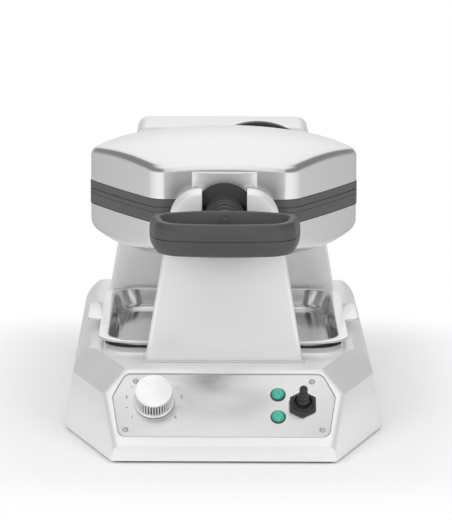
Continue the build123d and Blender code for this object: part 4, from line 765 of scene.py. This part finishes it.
def makeFrontSupport():
    sizes = frontLeg
    low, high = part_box("front_support")
    topHalf = high.x - sizes["leanShare"] * (high.z - low.z)
    leg = taperedPlate(low, high, high.x, topHalf)
    upright = [
        edge for edge in leg.edges
        if abs(edge.verts[0].co.z - edge.verts[1].co.z) > sizes["uprightRise"]
    ]
    bevelMesh(leg, upright, sizes["edgeRound"], 5)
    bevelMesh(leg, sharpEdges(leg, 60), sizes["thinEdge"], 2)
    finishPiece("frontLeg", leg, housingPaint, "base", ("front_support",))

    padLow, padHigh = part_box("front_support_gasket")
    corners = rectangle(padHigh.x - padLow.x, padHigh.y - padLow.y, (0, (padLow.y + padHigh.y) / 2))
    pad = outlineMesh(corners, [sizes["padRound"]] * 4, padLow.z, padHigh.z, 5)
    bevelMesh(pad, sharpEdges(pad, 60), sizes["thinEdge"], 2)
    finishPiece("legGasket", pad, greyRubber, "base", ("front_support_gasket",))

    low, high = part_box("front_saddle")
    topHalf = high.x - sizes["leanShare"] * (high.z - low.z)
    depth = high.y - low.y
    corners = [(-high.x, low.z), (high.x, low.z), (topHalf, high.z), (-topHalf, high.z)]
    saddle = outlineMesh(corners, [0, 0, sizes["saddleRound"], sizes["saddleRound"]], 0, depth, 10)
    outerFront = [
        edge for edge in sharpEdges(saddle, 60)
        if all(vertex.co.z > depth / 2 for vertex in edge.verts)
        and max(vertex.co.y for vertex in edge.verts) > low.z + levelGap
    ]
    bevelMesh(saddle, outerFront, sizes["saddleBevel"], 1)
    placeMesh(saddle, (0, high.y, 0), (0, -1, 0))
    half, top = sizes["slotHalf"], high.z + past
    corners = [(-half, turnAxisZ - half), (half, turnAxisZ - half), (half, top), (-half, top)]
    slot = outlineMesh(corners, [half - sizes["slotFlat"]] * 2 + [0, 0], -past, depth + past, 16)
    placeMesh(slot, (0, high.y, 0), (0, -1, 0))
    saddle = combineMesh(saddle, slot)
    bevelMesh(saddle, sharpEdges(saddle, sizes["saddleSharp"]), sizes["saddleEdge"], 2)
    finishPiece("saddlePlate", saddle, housingPaint, "base", ("front_saddle",), 24)


# drip tray

def panBody(shrink, low, high):  # the pan's outer or inner form, narrower at its floor
    sizes = trayPan
    corners = rectangle(panWidth - 2 * shrink, panLength - 2 * shrink, (0, trayCentreY))
    pan = outlineMesh(corners, [sizes["cornerRound"] - shrink] * 4, low, high)
    bottom = [vertex for vertex in pan.verts if vertex.co.z < low + near]
    shares = (1 - 2 * sizes["draft"] / panWidth, 1 - 2 * sizes["draft"] / panLength, 1)
    bmesh.ops.scale(pan, vec=shares, space=Matrix.Translation((0, -trayCentreY, 0)), verts=bottom)
    edges = [
        edge for edge in sharpEdges(pan, sizes["sharpAngle"])
        if all(vertex.co.z < low + near for vertex in edge.verts)
    ]
    bevelMesh(pan, edges, sizes["floorRound"] - shrink, sizes["floorSteps"])
    return pan


def makeTray():
    sizes = trayPan
    top = trayHigh.z
    half, reach, slant = sizes["width"] / 2, trayHigh.x, sizes["earSlant"]
    earLow, earHigh = sizes["earCentre"] - sizes["earLength"] / 2, sizes["earCentre"] + sizes["earLength"] / 2
    large, small = sizes["cornerRound"] + sizes["flange"] / 2, sizes["earRound"]
    right = [
        (half, trayLow.y, large), (half, earLow - slant, small), (reach, earLow, small),
        (reach, earHigh, small), (half, earHigh + slant, small), (half, trayHigh.y, large),
    ]
    outline = right + [(-x, y, radius) for x, y, radius in reversed(right)]
    corners, roundings = [(x, y) for x, y, radius in outline], [radius for x, y, radius in outline]
    bm = outlineMesh(corners, roundings, top - sizes["flangeSheet"], top)
    bevelMesh(bm, sharpEdges(bm, 60), sizes["edgeRoll"])
    bm = combineMesh(bm, panBody(0, trayLow.z, top - sizes["overlap"]), "UNION")
    bm = combineMesh(bm, panBody(sizes["sheet"], trayLow.z + sizes["sheet"], top + sizes["mouthRise"]))
    mouthHalf = panWidth / 2 + sizes["mouthReach"]
    mouth = [
        edge for edge in sharpEdges(bm, sizes["sharpAngle"])
        if all(abs(vertex.co.z - top) < near and abs(vertex.co.x) < mouthHalf for vertex in edge.verts)
    ]
    bevelMesh(bm, mouth, sizes["mouthRound"])
    finishPiece("dripTray", bm, traySteel, "tray", ("drip_tray",))


# cooking head

head = {
    "cornerRadius": 0.1142, "bulge": 0.0018, "bulgeShares": (0, 0.15, 0.3, 0.4, 0.5, 0.6, 0.7, 0.85),
    "cornerRound": 0.015, "leastRound": 0.004, "lidDome": 0.415, "lowerDome": 0.290, "lidApex": 0.0527,
    "lowerApex": 0.053, "rimUpper": 0.0106, "rimLower": 0.0085, "rimGap": 0.0005, "lidRound": 0.0055,
    "lowerRound": 0.0085, "sheet": 0.0015, "coverRings": (0.9, 0.87, 0.85, 0.82, 0.8, 0.75, 0.66, 0.5),
    "cutBelow": 0.002, "panelHalf": 0.0265, "panelProud": 0.0026, "panelEdge": 0.0006, "panelTop": 0.034,
    "panelDepth": 0.006, "panelRound": 0.0011, "flangeRadius": 0.0253, "smoothAngle": 26,
}


def hexOutline(inset):  # six bulging sides with a rounded corner at each end
    sizes = head
    reach = sizes["cornerRadius"] - inset / math.cos(math.radians(30))
    radius = max(sizes["cornerRound"] - inset, sizes["leastRound"])
    plan, roundings = [], []
    for side in range(6):
        turns = [math.radians(60 * side), math.radians(60 * side + 60)]
        start, end = (Vector((reach * math.cos(turn), reach * math.sin(turn))) for turn in turns)
        outward = (start + end).normalized()
        for share in sizes["bulgeShares"]:
            bulge = sizes["bulge"] * (1 - (2 * share - 1) ** 2)
            plan.append(start.lerp(end, share) + outward * bulge)
            roundings.append(radius if share == 0 else 0)
    bm = bmesh.new()
    ring = [bm.verts.new((point.x, point.y, 0)) for point in plan]
    bm.faces.new(ring)
    corners = [vertex for vertex, rounding in zip(ring, roundings) if rounding]
    bevelMesh(bm, corners, radius * math.tan(math.radians(30)), 8, "VERTICES")
    bmesh.ops.translate(bm, vec=(0, headCentreY, 0), verts=bm.verts)
    return bm


def hexCover(side, low, apex, domeRadius, inset, edgeRound):  # walls under a dome, side -1 turned over
    bm = hexOutline(inset)
    grown = bmesh.ops.extrude_face_region(bm, geom=bm.faces[:])
    loop = [item for item in grown["geom"] if isinstance(item, bmesh.types.BMVert)]
    top = [item for item in grown["geom"] if isinstance(item, bmesh.types.BMFace)]

    def domeHeight(vertex):
        reach = math.hypot(vertex.co.x, vertex.co.y - headCentreY)
        dome = domeRadius - inset
        return apex - inset - dome + math.sqrt(dome * dome - reach * reach)

    for vertex in bm.verts:
        vertex.co.z = low
    for vertex in loop:
        vertex.co.z = domeHeight(vertex)
    shoulder = [item for item in bm.edges if all(vertex in set(loop) for vertex in item.verts)]
    for share in head["coverRings"]:
        grown = bmesh.ops.extrude_face_region(bm, geom=top)
        bmesh.ops.delete(bm, geom=top, context="FACES_ONLY")
        ring = [item for item in grown["geom"] if isinstance(item, bmesh.types.BMVert)]
        top = [item for item in grown["geom"] if isinstance(item, bmesh.types.BMFace)]
        for vertex in ring:
            vertex.co.x *= share
            vertex.co.y = headCentreY + (vertex.co.y - headCentreY) * share
            vertex.co.z = domeHeight(vertex)
    bmesh.ops.recalc_face_normals(bm, faces=bm.faces)
    bevelMesh(bm, [item for item in shoulder if item.is_valid], edgeRound, 7)
    if side < 0:
        bmesh.ops.scale(bm, vec=(1, 1, -1), verts=bm.verts)
        bmesh.ops.reverse_faces(bm, faces=bm.faces)
    bmesh.ops.translate(bm, vec=(0, 0, turnAxisZ), verts=bm.verts)
    return bm


def hexShell(side, low, apex, domeRadius, edgeRound, boss=None):  # a hollow cover, with a boss if given
    sheet = head["sheet"]
    bm = hexCover(side, low, apex, domeRadius, 0, edgeRound)
    if boss:
        bm = combineMesh(bm, boss, "UNION")
    inner = hexCover(side, low - head["cutBelow"], apex, domeRadius, sheet, edgeRound - sheet)
    return combineMesh(bm, inner)


def makeCovers():
    sizes = head
    lowZ = sizes["rimUpper"] + sizes["rimGap"]
    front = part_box("lid_cover")[0].y + sizes["panelProud"]
    half, edge, depth = sizes["panelHalf"], sizes["panelEdge"], sizes["panelProud"] - sizes["panelEdge"]
    shares = [step / 4 for step in range(-4, 5)]
    plan = [(half * share, front - edge - depth * (1 - share * share)) for share in shares]
    plan += [(half, front + sizes["panelDepth"]), (-half, front + sizes["panelDepth"])]
    boss = outlineMesh(plan, [0] * len(plan), turnAxisZ + lowZ, turnAxisZ + sizes["panelTop"])
    bossEdges = [
        item for item in sharpEdges(boss, 60) if (item.verts[0].co.y + item.verts[1].co.y) / 2 < front
    ]
    bevelMesh(boss, bossEdges, sizes["panelRound"])
    lid = hexShell(1, lowZ, sizes["lidApex"], sizes["lidDome"], sizes["lidRound"], boss)
    reach = sizes["flangeRadius"]
    arch = turnedMesh([(0, 0), (reach, 0), (reach, past), (0, past)], 72)
    placeMesh(arch, (0, front, turnAxisZ), (0, -1, 0))
    lid = combineMesh(lid, arch)
    finishPiece("lidCover", lid, coverSteel, "lid", ("lid_cover",), sizes["smoothAngle"])

    lowZ = sizes["rimLower"] + sizes["rimGap"]
    lower = hexShell(-1, lowZ, sizes["lowerApex"], sizes["lowerDome"], sizes["lowerRound"])
    finishPiece(
        "lowerCover", lower, coverSteel, "head", ("lower_cover",), sizes["smoothAngle"],
    )


# neck and handle

neck = {
    "rings": (
        (0.0146, 0.004), (0.0126, 0.003), (0.0136, 0.004), (0.0114, 0.005), (0.0122, 0.004), (0.0104, 0.0127),
    ),
    "edge": 0.0006, "steps": 72,
}


def makeNeck():
    edge = neck["edge"]
    level = 0
    profile = [(0, 0)]
    for radius, length in neck["rings"]:
        profile += [(radius - edge, level), (radius, level + edge)]
        profile += [(radius, level + length - edge), (radius - edge, level + length)]
        level += length
    profile.append((0, level))
    start = (0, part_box("handle_neck")[1].y, turnAxisZ)
    bm = placeMesh(turnedMesh(profile, neck["steps"]), start, (0, -1, 0))
    finishPiece("handleNeck", bm, handlePlastic, "lid", ("handle_neck",), 40)


handle = {
    "shoulderHalf": 0.022, "shoulderDrop": 0.014, "sideHalf": 0.0614, "frontHalf": 0.054, "frontBow": 0.007,
    "bar": 0.0095, "seam": 0.0002, "cornerSteps": 12,
    "bossRadius": 0.0094, "bossRound": 0.0012, "bossSteps": 48,
    "outerRounds": {"frontRound": 0.020, "sideRound": 0.016, "shoulderRound": 0.024},
    "innerRounds": {"frontRound": 0.020, "sideRound": 0.013, "shoulderRound": 0.030},
    "crown": {1: (0.0044, 2.6, 0.0030), -1: (0.0060, 2.2, 0.0026)},  # outer run, fullness, inner run
    "crownShares": (0, 0.2, 0.4, 0.55, 0.68, 0.78, 0.86, 0.92, 0.96, 0.985, 1), "smoothAngle": 40,
}


def handleSection(side, rise):  # steps in from the outer edge with heights, up the outside, down the inside
    sizes = handle
    outerRun, power, innerRun = sizes["crown"][side]
    shares, seam = sizes["crownShares"], sizes["seam"]

    def inward(share, run):
        return run * (1 - max(1 - share**power, 0) ** (1 / power))

    outer = [(seam, 0)] + [(inward(share, outerRun), max(rise * share, seam)) for share in shares]
    inner = [(sizes["bar"] - inward(share, innerRun), max(rise * share, seam)) for share in reversed(shares)]
    return outer + inner + [(sizes["bar"] - seam, 0)]


def handlePlan():  # corners of the outer line from the middle of the front bar, each with its rounding
    sizes = handle
    low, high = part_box("handle_upper_shell")
    back, front, bow = high.y, low.y, sizes["frontBow"]
    half = [(sizes["frontHalf"] * share, front + bow * share * share, "") for share in (0, 0.3, 0.6)]
    half += [(sizes["frontHalf"], front + bow, "frontRound")]
    half += [(sizes["sideHalf"], back - sizes["shoulderDrop"], "sideRound")]
    half += [(sizes["shoulderHalf"], back, "shoulderRound")]
    return half + [(-x, y, label) for x, y, label in reversed(half[1:])]


def roundedLine(points, labels, radii):
    flat = bmesh.new()
    ring = [flat.verts.new(point) for point in points]
    flat.faces.new(ring)
    for vertex, label in zip(ring, labels):
        if label:
            roundCorner(flat, vertex, radii[label], handle["cornerSteps"])
    line = [vertex.co.copy() for vertex in flat.faces[:][0].verts]
    flat.free()
    middleY = (max(point.y for point in points) + min(point.y for point in points)) / 2
    frontBar = [place for place, point in enumerate(line) if point.y <= middleY]
    start = min(frontBar, key=lambda place: abs(line[place].x))
    return line[start:] + line[:start]


def handleRing(side, low, high):
    sizes = handle
    plan = handlePlan()
    labels = [label for x, y, label in plan]
    corners = [Vector((x, y, 0)) for x, y, label in plan]
    inset = []
    for index, corner in enumerate(corners):
        before = (corner - corners[index - 1]).normalized()
        after = (corners[(index + 1) % len(corners)] - corner).normalized()
        first, second = Vector((-before.y, before.x, 0)), Vector((-after.y, after.x, 0))
        inset.append(corner + (first + second) / (1 + first.dot(second)) * sizes["bar"])
    outerLine = roundedLine(corners, labels, sizes["outerRounds"])
    innerLine = roundedLine(inset, labels, sizes["innerRounds"])
    section = handleSection(side, high - low)
    base = low if side > 0 else high
    bm = bmesh.new()
    loops = []
    for outerPoint, innerPoint in zip(outerLine, innerLine):
        loop = []
        for inward, rise in section:
            point = outerPoint.lerp(innerPoint, inward / sizes["bar"])
            loop.append(bm.verts.new(point + Vector((0, 0, base + side * rise))))
        loops.append(loop)
    for index, loop in enumerate(loops):
        following = loops[(index + 1) % len(loops)]
        for place in range(len(section)):
            after = (place + 1) % len(section)
            bm.faces.new((loop[place], following[place], following[after], loop[after]))
    bmesh.ops.recalc_face_normals(bm, faces=bm.faces)
    return bm


def makeHandle():
    sizes = handle
    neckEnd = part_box("handle_neck")[0].y
    radius, edge = sizes["bossRadius"], sizes["bossRound"]
    for name, node, side in (
        ("handleUpper", "handle_upper_shell", 1), ("handleLower", "handle_lower_shell", -1),
    ):
        low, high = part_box(node)
        bm = handleRing(side, low.z, high.z)
        length = sizes["bar"] / 2 + neckEnd - high.y
        profile = [(0, 0), (radius - edge, 0), (radius, edge), (radius, length), (0, length)]
        boss = placeMesh(turnedMesh(profile, sizes["bossSteps"]), (0, neckEnd, turnAxisZ), (0, -1, 0))
        trimMesh(boss, (0, 0, low.z if side > 0 else high.z), (0, 0, -side))
        bm = combineMesh(bm, boss, "UNION")
        finishPiece(name, bm, handlePlastic, "lid", (node,), sizes["smoothAngle"])


# rear support

rearTower = {
    "leanShare": 0.1705, "topRound": 0.010, "edgeRound": 0.0022, "wall": 0.003, "cutBelow": 0.002,
    "hubRadius": 0.0245, "hubDepth": 0.006, "hubSteps": 72, "smoothAngle": 26,
}


def towerBlock(low, high, inset, floor):
    sizes = rearTower
    lowHalf = high.x - sizes["leanShare"] * (floor - low.z) - inset
    topHalf = high.x - sizes["leanShare"] * (high.z - inset - low.z) - inset
    bm = outlineMesh(
        [(-lowHalf, floor), (lowHalf, floor), (topHalf, high.z - inset), (-topHalf, high.z - inset)],
        [0, 0, sizes["topRound"] - inset, sizes["topRound"] - inset], 0, high.y - low.y, 8,
    )
    return placeMesh(bm, (0, high.y, 0), (0, -1, 0))


def makeRearSupport():
    sizes = rearTower
    low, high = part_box("rear_support")
    bm = towerBlock(low, high, 0, low.z)
    front = [
        edge for edge in sharpEdges(bm, 50) if all(vertex.co.y < low.y + levelGap for vertex in edge.verts)
    ]
    bevelMesh(bm, front, sizes["edgeRound"], 4)
    inside = Vector((low.x, low.y + sizes["wall"], low.z))
    room = towerBlock(inside, high, sizes["wall"], low.z - sizes["cutBelow"])
    rearSide = [vertex for vertex in room.verts if vertex.co.y > high.y - levelGap]
    bmesh.ops.translate(room, vec=(0, sizes["wall"], 0), verts=rearSide)
    bm = combineMesh(bm, room)
    reach = sizes["hubRadius"]
    hub = turnedMesh([(0, 0), (reach, 0), (reach, past), (0, past)], sizes["hubSteps"])
    placeMesh(hub, (0, low.y + sizes["hubDepth"], turnAxisZ), (0, -1, 0))
    bm = combineMesh(bm, hub)
    finishPiece(
        "rearSupport", bm, housingPaint, "base", ("rear_support",), sizes["smoothAngle"],
    )


makeBase()
makePanel()
makeDial()
print("base and panel done")
makeKnob()
makeLamps()
makeSwitch()
print("controls done")
makeFrontSupport()
makeTray()
print("front support and tray done")
makeCovers()
makeNeck()
makeHandle()
print("head and handle done")
makeRearSupport()
print("rear support done")


# floor, light and camera

studio = {
    "floorSize": 8.0, "floorColour": (0.93, 0.93, 0.93), "floorRoughness": 0.8, "skyLight": 0.72,
    "around": (
        (0, 0.36), (0.06, 0.4), (0.11, 1.0), (0.26, 1.0), (0.4, 0.86), (0.6, 0.62), (0.82, 0.46), (0.94, 0.8),
        (1, 0.8),
    ),
    "sideShade": 0.78, "aside": (0.12, 0.4), "overhead": (0.7, 0.95), "horizon": (0.08, 0.34),
    "footprint": (0.125, 0.215), "fade": (0.01, 0.16),
    "lamps": (
        ("topLight", (0.0, -0.1, 1.6), (0, 0, 0.1), (1.6, 1.4), 3.5),
        ("leftLight", (-0.9, -1.7, 1.0), (0, 0, 0.12), (0.9, 1.4), 11.5),
        ("rightLight", (1.0, -1.6, 0.9), (0, 0, 0.12), (0.8, 1.4), 8.0),
    ),
}
view = {
    "target": (0.00192, -0.061, 0.13599), "distance": 2.60717, "pitch": 11.057, "yaw": 0.409, "roll": 0.284,
    "lens": 216.24, "sensor": 36.0, "clip": (0.05, 50),
}


def mathNode(tree, operation, *values):
    node = addNode(tree, "ShaderNodeMath", {"operation": operation})
    for socket, value in zip(node.inputs, values):
        if isinstance(value, (int, float)):
            socket.default_value = value
        else:
            tree.links.new(value, socket)
    return node.outputs[0]


def easeNode(tree, value, start, end, low=0.0, high=1.0):
    node = addNode(tree, "ShaderNodeMapRange", {"interpolation_type": "SMOOTHSTEP"})
    for label, number in (("From Min", start), ("From Max", end), ("To Min", low), ("To Max", high)):
        node.inputs[label].default_value = number
    tree.links.new(value, node.inputs["Value"])
    return node.outputs["Result"]


def aroundLevel(tree, x, y):  # how bright the studio looks in a mirror, from its front round to its back
    aside, ahead = mathNode(tree, "ABSOLUTE", x), mathNode(tree, "MULTIPLY", y, -1)
    turn = mathNode(tree, "DIVIDE", mathNode(tree, "ARCTAN2", aside, ahead), math.pi)
    ramp = addNode(tree, "ShaderNodeValToRGB")
    stops = ramp.color_ramp.elements
    stops[0].position, stops[1].position = studio["around"][0][0], studio["around"][-1][0]
    for share, level in studio["around"][1:-1]:
        stops.new(share)
    for stop, (share, level) in zip(stops, studio["around"]):
        stop.color = (level, level, level, 1)
    tree.links.new(turn, ramp.inputs["Fac"])
    return ramp.outputs["Color"]


def makeStage():  # the floor keeps the shadow near the object and is plain white farther off
    bm = bmesh.new()
    bmesh.ops.create_grid(bm, x_segments=1, y_segments=1, size=studio["floorSize"] / 2)
    mesh = bpy.data.meshes.new("floor")
    bm.to_mesh(mesh)
    bm.free()
    floor = bpy.data.objects.new("floor", mesh)
    bpy.context.scene.collection.objects.link(floor)
    material = bpy.data.materials.new("floorPaper")
    material.use_nodes = True
    tree = material.node_tree
    link = tree.links.new
    shader = tree.nodes["Principled BSDF"]
    shader.inputs["Base Color"].default_value = (*studio["floorColour"], 1)
    shader.inputs["Roughness"].default_value = studio["floorRoughness"]
    parts = addNode(tree, "ShaderNodeSeparateXYZ")
    link(addNode(tree, "ShaderNodeTexCoord").outputs["Object"], parts.inputs[0])
    squares = []
    for label, reach in zip("XY", studio["footprint"]):
        outside = mathNode(tree, "SUBTRACT", mathNode(tree, "ABSOLUTE", parts.outputs[label]), reach)
        squares.append(mathNode(tree, "POWER", mathNode(tree, "MAXIMUM", outside, 0), 2))
    apart = mathNode(tree, "SQRT", mathNode(tree, "ADD", *squares))
    path = addNode(tree, "ShaderNodeLightPath")
    mirrored = path.outputs["Is Glossy Ray"]
    seen = mathNode(tree, "MAXIMUM", path.outputs["Is Camera Ray"], mirrored)
    share = mathNode(tree, "MULTIPLY", easeNode(tree, apart, *studio["fade"]), seen)
    dimming = mathNode(tree, "SUBTRACT", 1, aroundLevel(tree, parts.outputs["X"], parts.outputs["Y"]))
    white = addNode(tree, "ShaderNodeEmission")
    strength = mathNode(tree, "SUBTRACT", 1, mathNode(tree, "MULTIPLY", dimming, mirrored))
    link(strength, white.inputs["Strength"])
    blend = addNode(tree, "ShaderNodeMixShader")
    link(share, blend.inputs["Fac"])
    link(shader.outputs["BSDF"], blend.inputs[1])
    link(white.outputs["Emission"], blend.inputs[2])
    link(blend.outputs["Shader"], tree.nodes["Material Output"].inputs["Surface"])
    mesh.materials.append(material)


def makeSky():
    world = bpy.data.worlds.new("studioSky")
    bpy.context.scene.world = world
    world.use_nodes = True
    tree = world.node_tree
    sky = tree.nodes["Background"]
    sky.inputs["Color"].default_value = (1, 1, 1, 1)
    parts = addNode(tree, "ShaderNodeSeparateXYZ")
    tree.links.new(addNode(tree, "ShaderNodeTexCoord").outputs["Generated"], parts.inputs[0])
    x, y, z = (parts.outputs[label] for label in "XYZ")
    aside = easeNode(tree, mathNode(tree, "ABSOLUTE", x), *studio["aside"])
    below = easeNode(tree, z, *studio["overhead"], studio["sideShade"], 0.0)
    shade = mathNode(tree, "MULTIPLY", aside, below)
    raised = easeNode(tree, z, *studio["horizon"])
    high = mathNode(tree, "MULTIPLY", mathNode(tree, "SUBTRACT", 1, shade), raised)
    low = mathNode(tree, "MULTIPLY", aroundLevel(tree, x, y), mathNode(tree, "SUBTRACT", 1, raised))
    mirror = mathNode(tree, "ADD", high, low)
    path = addNode(tree, "ShaderNodeLightPath")
    camera, glossy = path.outputs["Is Camera Ray"], path.outputs["Is Glossy Ray"]
    lit = mathNode(tree, "SUBTRACT", 1, mathNode(tree, "MAXIMUM", camera, glossy))
    plain = mathNode(tree, "ADD", mathNode(tree, "MULTIPLY", lit, studio["skyLight"]), camera)
    level = mathNode(tree, "ADD", mathNode(tree, "MULTIPLY", mirror, glossy), plain)
    tree.links.new(level, sky.inputs["Strength"])


def makeLights():
    for name, place, aim, size, power in studio["lamps"]:
        lamp = bpy.data.lights.new(name, "AREA")
        lamp.shape, lamp.size, lamp.size_y, lamp.energy = "RECTANGLE", size[0], size[1], power
        holder = bpy.data.objects.new(name, lamp)
        holder.location = place
        holder.visible_glossy = False  # the sky alone shows in the steel
        holder.rotation_euler = (Vector(aim) - Vector(place)).to_track_quat("-Z", "Y").to_euler()
        bpy.context.scene.collection.objects.link(holder)


def makeCamera():
    pitch, yaw, roll = (math.radians(view[label]) for label in ("pitch", "yaw", "roll"))
    forward = Vector((math.sin(yaw) * math.cos(pitch), math.cos(yaw) * math.cos(pitch), -math.sin(pitch)))
    level = Vector((math.cos(yaw), -math.sin(yaw), 0))
    upward = level.cross(forward)
    right = level * math.cos(roll) + upward * math.sin(roll)
    top = upward * math.cos(roll) - level * math.sin(roll)
    camera = bpy.data.cameras.new("camera")
    camera.lens, camera.sensor_width, camera.sensor_fit = view["lens"], view["sensor"], "AUTO"
    camera.clip_start, camera.clip_end = view["clip"]
    holder = bpy.data.objects.new("camera", camera)
    turn = Matrix((right, top, -forward)).transposed().to_4x4()
    holder.matrix_world = Matrix.Translation(Vector(view["target"]) - forward * view["distance"]) @ turn
    bpy.context.scene.collection.objects.link(holder)
    bpy.context.scene.camera = holder


makeStage()
makeSky()
makeLights()
makeCamera()
bpy.context.scene.view_settings.view_transform = "Standard"
print("studio done")
